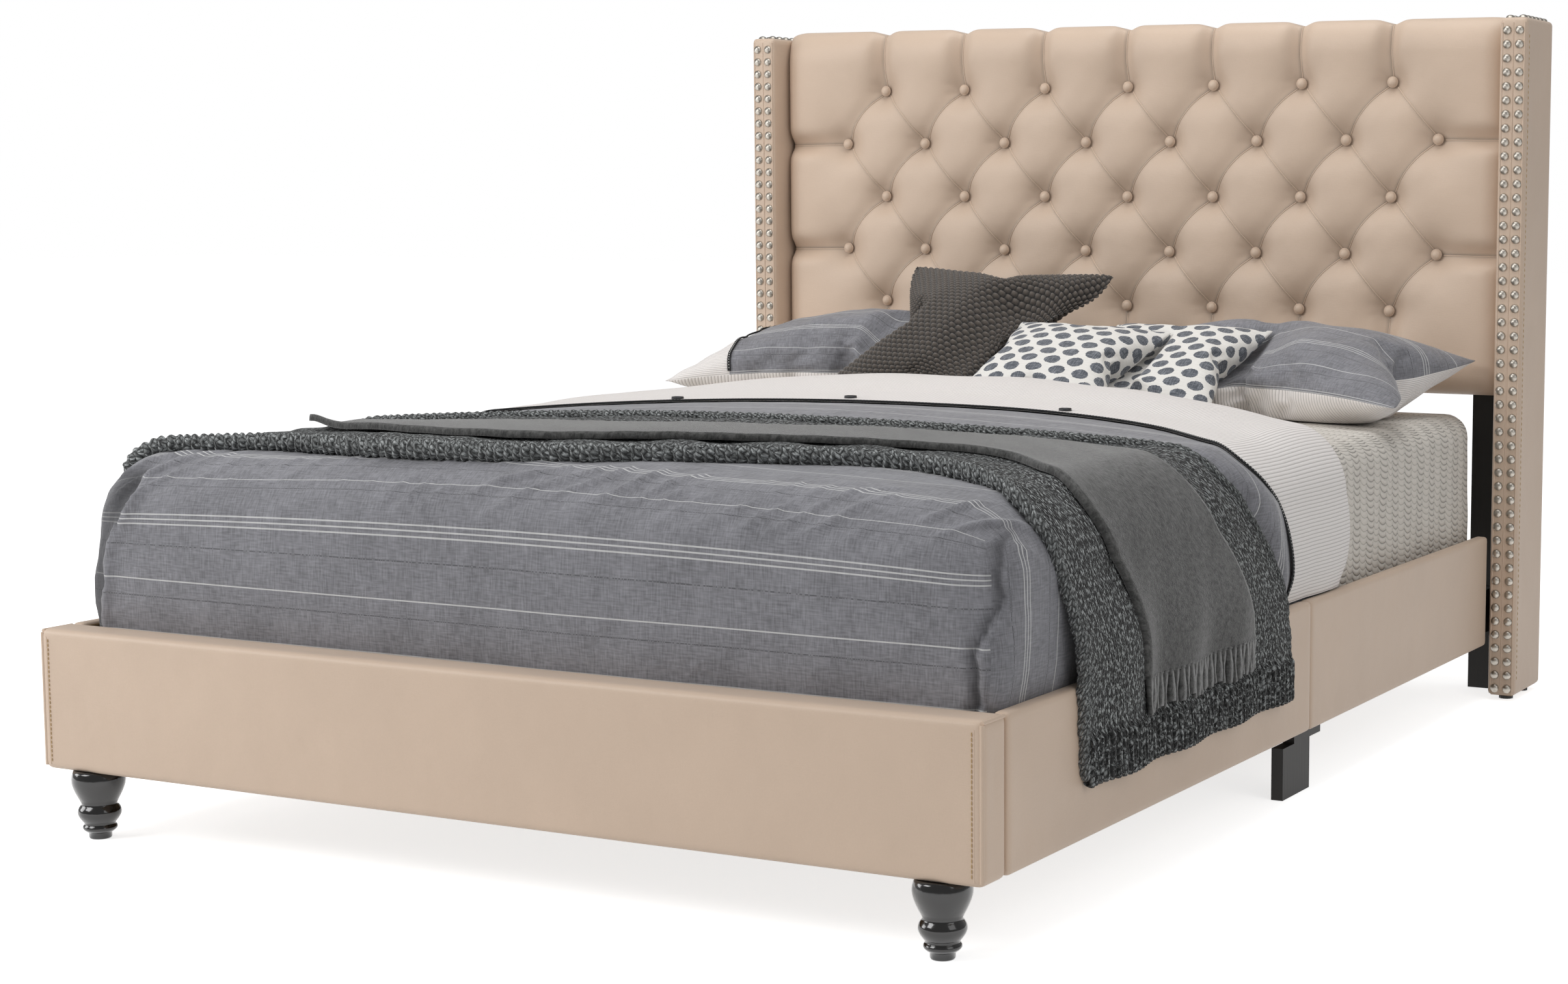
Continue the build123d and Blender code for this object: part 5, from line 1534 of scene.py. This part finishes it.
class BED_OT_throws(bpy.types.Operator):
    """Makes the knitted throw and the felt throw over it"""

    bl_idname = "bed.throws"
    bl_label = "Throws"

    def execute(self, context):
        self.knit()
        self.felt()
        return {"FINISHED"}

    def knit(self):
        length, width, rib_pitch = 1.95, 0.72, 0.0145
        shape = {"first": 0.79, "hang_x": 0.812, "hem": 0.188, "edges": knit_edges}
        found = []

        def place(u, v):
            curl = np.clip((u - 0.985) / 0.015, 0, 1) * math.pi
            share = np.minimum(u, 0.985) / 0.985
            x, y, z, out_x, out_z, down = throw_path(share, across=v, lift=0.005, **shape)
            # The hem is ribbed, and its end is rolled in.
            lower = eased(down, 0.226, 0.24)
            rib = np.abs(np.sin(y * math.pi / rib_pitch)) ** 0.7
            wave = 0.0012 * ripple(np.column_stack((x, y, z)), 0.2, 41)
            bunch = 0.002 * np.sin((y + 0.25 * x) * 2 * math.pi / 0.085)
            bunch = bunch * np.abs(out_z) * (1 - eased(down, 0.02, 0.2))
            puff = 0.004 + throw_fold(y, down) + 0.009 * rib * lower + wave + bunch
            # Marks the painted shade between the ribs of the hem.
            found.append((1 - rib) ** 1.2 * lower)
            x = x + np.abs(out_x) * puff - 0.005 * (1 - np.cos(curl))
            return x, y, z + out_z * puff - (0.004 + 0.005 * rib) * np.sin(curl)

        mesh = grid_mesh("knit", 300, 320, place, lambda u, v: (u * length, v * width))
        mark(mesh, "rib_shade", found[0])
        throw = piece("knitted_throw", mesh, [finish(knitted_wool)], BEDDING, ["knit_throw"])
        edges = []
        for side, thick in ((0, 0.0145), (1, 0.0095)):

            def path(u, side=side):
                share = 0.002 + u * 0.998
                x, y, z, out_x, out_z, down = throw_path(share, across=side + 0 * u, lift=0.009, **shape)
                middle = np.column_stack((x + throw_fold(y, down), y + 0.0016 * np.sin(u * 260), z))
                return middle, np.column_stack((out_x, 0 * x, out_z))

            def radius(u, thick=thick):
                return thick * (1 - 0.38 * eased(u, 0.72, 0.84))

            edges.append(rolled_edge("edge", path, 760, radius, rib_pitch))
        mesh = joined("knit_edges", edges)
        rolled = piece("knitted_edges", mesh, [finish(knitted_wool)], BEDDING)
        # The lit mark asks for the painted highlight on the rolled edges' loops.
        mark(rolled.data, "lit", np.ones(len(rolled.data.vertices)))

    def felt(self):
        length, width = 1.68, 0.32
        shape = {"first": 0.625, "hang_x": 0.822, "hem": 0.300, "edges": felt_edges}

        def place(u, v):
            # Rows are closer together at the front, where the doubled edge rolls down.
            across = 0.65 * v + 0.35 * v**2
            x, y, z, out_x, out_z, down = throw_path(u, across=across, lift=0.0195, **shape)
            wave = 0.0015 * ripple(np.column_stack((x, y, z)), 0.24, 43)
            curl = 0.014 * np.exp(-((u / 0.03) ** 2)) * np.exp(-((across / 0.3) ** 2))
            edge = np.clip(1 - across / 0.03, 0, 1)
            fell = 0.003 * np.exp(-((across / 0.08) ** 2)) - 0.011 * (1 - np.sqrt(1 - edge**2))
            puff = throw_fold(y, down) + wave + curl + fell
            return x + np.abs(out_x) * puff, y, z + out_z * puff

        mesh = grid_mesh("felt", 220, 90, place, lambda u, v: (u * length, v * width))
        throw = piece("felt_throw_cloth", mesh, [finish(felted_wool)], BEDDING, ["felt_throw"])
        thick = throw.modifiers.new("nap", "SOLIDIFY")
        thick.thickness = 0.005
        thick.offset = -1
        bottom = points_of(mesh)[cloth_of(mesh)[:, 0] > length - 0.001]
        mesh = cut_fringe(bottom[np.argsort(bottom[:, 1])])
        fringe = piece("felt_fringe", mesh, [finish(felted_wool)], BEDDING)


# Pillows and cushions


def slack_case(name, width, depth, cells):
    """Two rectangles of cloth joined round their edge, a little apart in the middle."""
    bm = bmesh.new()
    columns, rows = cells
    bmesh.ops.create_grid(bm, x_segments=columns, y_segments=rows, size=0.5)
    layer = bm.loops.layers.uv.new("cloth")
    for face in bm.faces:
        for loop in face.loops:
            loop[layer].uv = (loop.vert.co.x * width, loop.vert.co.y * depth)
    front = bm.verts[:]
    copied = bmesh.ops.duplicate(bm, geom=bm.verts[:] + bm.edges[:] + bm.faces[:])["geom"]
    back_faces = [item for item in copied if isinstance(item, bmesh.types.BMFace)]
    bmesh.ops.reverse_faces(bm, faces=back_faces)
    back = {item for item in copied if isinstance(item, bmesh.types.BMVert)}
    for vert in front + list(back):
        x, y = vert.co.x * 2, vert.co.y * 2
        rise = (1 - x**4) * (1 - y**4)
        vert.co = (vert.co.x * width, vert.co.y * depth, 0.02 * rise * (-1 if vert in back else 1))
    bmesh.ops.remove_doubles(bm, verts=bm.verts, dist=1e-6)
    return as_mesh(bm, name)


def taken_from(holder):
    """The mesh of an object with its modifiers applied. The object goes."""
    view = bpy.context.evaluated_depsgraph_get()
    done = bpy.data.meshes.new_from_object(holder.evaluated_get(view))
    bpy.data.objects.remove(holder)
    return done


def stuffed(mesh, pressure, frames):
    """Blows the case up by cloth simulation, so that its sides draw in and its seams pucker."""
    scene = bpy.context.scene
    holder = bpy.data.objects.new(mesh.name, mesh)
    scene.collection.objects.link(holder)
    cloth = holder.modifiers.new("stuffing", "CLOTH")
    settings = cloth.settings
    settings.quality = 7
    settings.mass = 0.25
    settings.tension_stiffness = 22
    settings.compression_stiffness = 22
    settings.shear_stiffness = 6
    settings.bending_stiffness = 0.25
    settings.use_pressure = True
    settings.uniform_pressure_force = pressure
    settings.effector_weights.gravity = 0
    cloth.collision_settings.use_collision = False
    cloth.point_cache.frame_start = 1
    cloth.point_cache.frame_end = frames
    for number in range(1, frames + 1):
        scene.frame_set(number)
    done = taken_from(holder)
    scene.frame_set(1)
    return done


def cushion_mesh(name, width, depth, thickness, cells, pressure):
    """A filled case at the origin, lying flat, as wide, deep and thick as asked."""
    mesh = slack_case(name, width, depth, cells)
    mesh = stuffed(mesh, pressure, 22)
    points = points_of(mesh)
    reach = np.abs(points).max(axis=0)
    points *= np.array([width / 2, depth / 2, thickness / 2]) / reach
    set_points(mesh, points)
    return mesh


def refined(mesh, levels):
    """The mesh after smooth subdivision."""
    holder = bpy.data.objects.new("refined", mesh)
    bpy.context.scene.collection.objects.link(holder)
    smooth = holder.modifiers.new("smooth", "SUBSURF")
    smooth.levels = smooth.render_levels = levels
    return taken_from(holder)


def leaning(centre_x, foot_edge, size, tilt, roll):
    """Where a cushion that leans to the head stands on the coverlet, rolled a little on its face."""
    coverlet, seam = 0.556, 0.016
    z = coverlet + seam + size / 2 * math.sin(tilt)
    y = FOOT_FACE + foot_edge + size / 2 * math.cos(tilt)
    turn = Matrix.Rotation(tilt, 4, "X") @ Matrix.Rotation(roll, 4, "Z")
    return Matrix.Translation((centre_x, y, z)) @ turn


def cushion_places():
    """Place, size and thickness of the dotted cushions, front first, and of the dark one."""
    tilt = math.radians(26)
    return [
        (leaning(0.095, 1.48, 0.34, tilt, -0.07), 0.34, 0.096),
        (leaning(0.275, 1.56, 0.34, tilt, -0.02), 0.34, 0.096),
        (leaning(-0.165, 1.545, 0.47, math.radians(32), -0.045), 0.47, 0.12),
    ]


def turned(points, matrix):
    """The points moved by a matrix."""
    matrix = np.array(matrix)
    return points @ matrix[:3, :3].T + matrix[:3, 3]


def pressed_under(points, fronts, gap):
    """Points behind or under a cushion in front are pressed to its back, and give way softly round it."""
    for place, size, thickness in fronts:
        inside = turned(points, place.inverted())
        across, up = (np.abs(inside[:, :2]) * 2 / size).T
        lens = np.sqrt(np.clip(1 - across**4, 0, 1) * np.clip(1 - up**4, 0, 1))
        back = -np.minimum(0.3, 0.5 * lens) * thickness - gap
        outside = np.hypot(np.maximum(across - 1, 0), np.maximum(up - 1, 0)) * size / 2
        over = np.maximum(0, inside[:, 2] - back) * (1 - eased(outside, 0.0, 0.11))
        inside[:, 2] -= over
        points = turned(inside, place)
    return points


def settled(points, place, back, fronts):
    """A cushion stood in its place: flat at its back, resting on the coverlet, pressed by those in front."""
    points = points.copy()
    points[:, 2] = np.maximum(points[:, 2], -back)
    points = turned(points, place)
    points = pressed_under(points, fronts, 0.001)
    points[:, 2] = np.maximum(points[:, 2], COVERLET_TOP)
    return points


def turn_cloth(mesh, chosen):
    """Turns the cloth's grain a quarter on the chosen faces."""
    layer = mesh.uv_layers["cloth"].data
    for face, wanted in zip(mesh.polygons, chosen):
        if wanted:
            for corner in face.loop_indices:
                u, v = layer[corner].uv
                layer[corner].uv = (v, u)


class BED_OT_bed_pillows(bpy.types.Operator):
    """Makes the two bed pillows with their cream undersides, and one open end with braid and a button"""

    bl_idname = "bed.bed_pillows"
    bl_label = "Bed pillows"

    def execute(self, context):
        width, depth, thickness, tilt = 0.72, 0.51, 0.225, math.radians(7)
        puff_front = FOOT_FACE + 2.112
        for side, label in ((1, "right"), (-1, "left")):
            mesh = cushion_mesh(label + "_pillow", width, depth, thickness, (56, 40), 5.5)
            middle = Matrix.Translation((side * 0.425, puff_front - 0.268, 0.626))
            points = points_of(mesh)
            upper = points[:, 2] > 0.0
            # The foot edge bows up in its middle.
            bow = 0.02 * (1 - (points[:, 0] / width * 2) ** 2) * eased(-points[:, 1], 0.05, depth / 2)
            points = points + normals_of(mesh) * (0.0035 * ripple(points, 0.16, 51 + side))[:, None]
            points[:, 2] += bow
            points = turned(points, middle @ Matrix.Rotation(tilt, 4, "X"))
            points = pressed_under(points, cushion_places(), 0.001)
            points[:, 2] = np.maximum(points[:, 2], COVERLET_TOP)
            points[:, 1] = np.minimum(points[:, 1], puff_front - 0.002)
            set_points(mesh, points)
            # The upper cloth has the first half of the faces, the cream lower cloth the rest.
            cream = np.arange(len(mesh.polygons)) * 2 >= len(mesh.polygons)
            if side < 0:
                cream |= self.open_end(mesh, points, upper, cream)
            mesh.polygons.foreach_set("material_index", cream.astype(np.int32))
            mesh = refined(mesh, 1)
            node = label + "_bed_pillow"
            looks = [finish(chambray), finish(ribbed_cotton)]
            pillow = piece(node + "_case", mesh, looks, BEDDING, [node])
        return {"FINISHED"}

    def open_end(self, mesh, points, upper, lower_faces):
        """Braid across the left pillow where its cream end begins, and a button. Gives the cream faces."""
        cloth = cloth_of(mesh)
        normals = normals_of(mesh)
        columns = np.unique(cloth[:, 0].round(5))
        at = columns[np.argmin(np.abs(columns + 0.235))]
        line = np.flatnonzero((np.abs(cloth[:, 0] - at) < 1e-4) & upper)
        line = line[np.argsort(cloth[line, 1])]
        order, share = np.arange(len(line)), np.linspace(0, len(line) - 1, 150)
        out = along_path(share, order, normals[line])
        trim("pillow_braid", along_path(share, order, points[line]) + out * 0.002, out)
        top = np.flatnonzero(upper)
        spot = top[np.argmin(np.hypot(*(cloth[top] - np.array([at - 0.03, 0.12])).T))]
        place = Matrix.Translation(Vector(points[spot] + normals[spot] * 0.003)) @ facing_out(normals[spot])
        button = flat_buttons("pillow_button", [place])
        piece("pillow_button", button, [finish(horn)], BEDDING)
        end = np.array([cloth[list(face.vertices), 0].mean() < at for face in mesh.polygons]) & ~lower_faces
        turn_cloth(mesh, end)
        return end


class BED_OT_cushions(bpy.types.Operator):
    """Makes the two dotted cushions and the dark bobble-knit cushion"""

    bl_idname = "bed.cushions"
    bl_label = "Cushions"

    def execute(self, context):
        places = cushion_places()
        for number, node in enumerate(("front_dotted_cushion", "rear_dotted_cushion")):
            place, size, thickness = places[number]
            mesh = cushion_mesh(node, size, size, thickness, (36, 36), 5)
            points = points_of(mesh)
            points = points + normals_of(mesh) * (0.002 * ripple(points, 0.09, 61 + number))[:, None]
            set_points(mesh, settled(points, place, thickness * 0.3, places[:number]))
            mesh = refined(mesh, 1)
            case = piece(node + "_case", mesh, [finish(dotted_cotton)], BEDDING, [node])
        place, size, thickness = places[2]
        # One knitted bobble to a cell of the case.
        rows, columns = round(size / sizes().bobble), round(size / sizes().bobble / 1.25)
        mesh = cushion_mesh("charcoal_case", size, size, thickness, (columns, rows), 5)
        set_points(mesh, settled(points_of(mesh), place, thickness * 0.3, places[:2]))
        mesh = refined(mesh, 2)
        across, up = (cloth_of(mesh) / size + 0.5).T * np.array([[columns], [rows]])
        across = across + 0.5 * (np.floor(up) % 2)
        rise = np.abs(np.sin(np.pi * across)) ** 0.6 * np.abs(np.sin(np.pi * up)) ** 0.6
        points = points_of(mesh) + normals_of(mesh) * (0.0065 * (rise - 0.75))[:, None]
        set_points(mesh, points)
        # The bobble mark asks for painted shade between the bobbles.
        mark(mesh, "bobble", np.clip(rise**1.5 * 1.2, 0, 1))
        look = [finish(bobble_knit)]
        case = piece("charcoal_cushion_case", mesh, look, BEDDING, ["charcoal_cushion"])
        return {"FINISHED"}


# Stage


class BED_OT_stage(bpy.types.Operator):
    """Sets the camera, the soft studio light and the pale floor"""

    bl_idname = "bed.stage"
    bl_label = "Camera, light and floor"

    def execute(self, context):
        scene = context.scene
        scene.view_settings.view_transform = "Standard"
        self.camera(scene)
        self.floor(scene)
        self.world(scene)
        for name, place, target, size, power in (
            ("key", (-2.6, -4.2, 3.6), (0, 0, 0.6), 2.2, 106),
            ("fill", (4.2, -1.6, 2.6), (0.3, 0.3, 0.5), 2.4, 25),
            ("top", (0.3, 0.2, 3.9), (0, 0.3, 0.4), 2.6, 54),
            ("window", (-4.0, -2.2, 1.5), (-0.7, -1.0, 0.45), 1.6, 40),
        ):
            lamp = bpy.data.lights.new(name, "AREA")
            lamp.shape = "SQUARE"
            lamp.size = size
            lamp.energy = power
            holder = bpy.data.objects.new(name, lamp)
            holder.location = place
            holder.rotation_euler = (Vector(target) - Vector(place)).to_track_quat("-Z", "Y").to_euler()
            scene.collection.objects.link(holder)
        return {"FINISHED"}

    def camera(self, scene):
        """The camera fitted to the photograph, whose focal length and middle are in its pixels."""
        width, focal, middle = 2410, 4147.03, 1625
        lens = bpy.data.cameras.new("view")
        lens.sensor_width = 36
        lens.lens = focal / width * lens.sensor_width
        lens.shift_x = (width / 2 - middle) / width
        lens.clip_end = 60
        camera = bpy.data.objects.new("view", lens)
        heading, dip, roll = 0.4596, 0.1086, 0.002
        aim = Matrix.Rotation(heading, 4, "Z") @ Matrix.Rotation(math.pi / 2 - dip, 4, "X")
        place = Matrix.Translation((2.3485, -4.03835, 0.9658))
        camera.matrix_world = place @ aim @ Matrix.Rotation(roll, 4, "Z")
        scene.collection.objects.link(camera)
        scene.camera = camera

    def floor(self, scene):
        """A matt white floor that shows as white to the camera and keeps its shadows."""
        bm = bmesh.new()
        bmesh.ops.create_grid(bm, x_segments=2, y_segments=2, size=30)
        floor = bpy.data.objects.new("floor", as_mesh(bm, "floor"))
        scene.collection.objects.link(floor)
        material, tree = new_material("matt_white_floor")
        paint = add(tree, "BsdfDiffuse", {"Color": linear("EDEDED")})
        glow = add(tree, "Emission", {"Color": (1, 1, 1, 1), "Strength": 0.75})
        path = add(tree, "LightPath").outputs
        seen = add(tree, "Math", (path["Is Camera Ray"], path["Is Glossy Ray"]), operation="MAXIMUM")
        seen = add(tree, "Math", (seen, path["Is Transmission Ray"]), operation="MAXIMUM")
        lit = add(tree, "AddShader", (paint, glow))
        add(tree, "OutputMaterial", {"Surface": add(tree, "MixShader", (seen, paint, lit))})
        floor.data.materials.append(material)

    def world(self, scene):
        """White where the camera looks past the floor, and a soft even light for the bed."""
        world = bpy.data.worlds.new("studio")
        scene.world = world
        world.use_nodes = True
        tree = world.node_tree
        tree.nodes.clear()
        path = add(tree, "LightPath").outputs
        seen = add(tree, "Math", (path["Is Camera Ray"], path["Is Transmission Ray"]), operation="MAXIMUM")
        strength = add(tree, "Math", (seen, 0.64, 0.36), operation="MULTIPLY_ADD")
        sky = add(tree, "Background", {"Color": (1, 1, 1, 1), "Strength": strength})
        add(tree, "OutputWorld", {"Surface": sky})


class BED_PT_panel(bpy.types.Panel):
    """Lists the bed's pieces in the sidebar"""

    bl_idname = "BED_PT_panel"
    bl_label = "Wingback bed"
    bl_space_type = "VIEW_3D"
    bl_region_type = "UI"
    bl_category = "Bed"

    def draw(self, context):
        for group in (context.scene.bed_sizes, context.scene.bed_colours):
            for name in group.__annotations__:
                self.layout.prop(group, name)
        for operator in OPERATORS:
            self.layout.operator(operator.bl_idname)


OPERATORS = (
    BED_OT_stage,
    BED_OT_headboard,
    BED_OT_wings,
    BED_OT_footboard,
    BED_OT_rails,
    BED_OT_timber,
    BED_OT_mattress,
    BED_OT_duvet,
    BED_OT_throws,
    BED_OT_bed_pillows,
    BED_OT_cushions,
)
CLASSES = (BedSizes, BedColours) + OPERATORS + (BED_PT_panel,)


def register():
    for made in CLASSES:
        bpy.utils.register_class(made)
    bpy.types.Scene.bed_sizes = bpy.props.PointerProperty(type=BedSizes)
    bpy.types.Scene.bed_colours = bpy.props.PointerProperty(type=BedColours)


def unregister():
    del bpy.types.Scene.bed_sizes
    del bpy.types.Scene.bed_colours
    for made in reversed(CLASSES):
        bpy.utils.unregister_class(made)


def main():
    register()
    for operator in OPERATORS:
        group, name = operator.bl_idname.split(".")
        getattr(getattr(bpy.ops, group), name)()


if __name__ == "__main__":
    main()
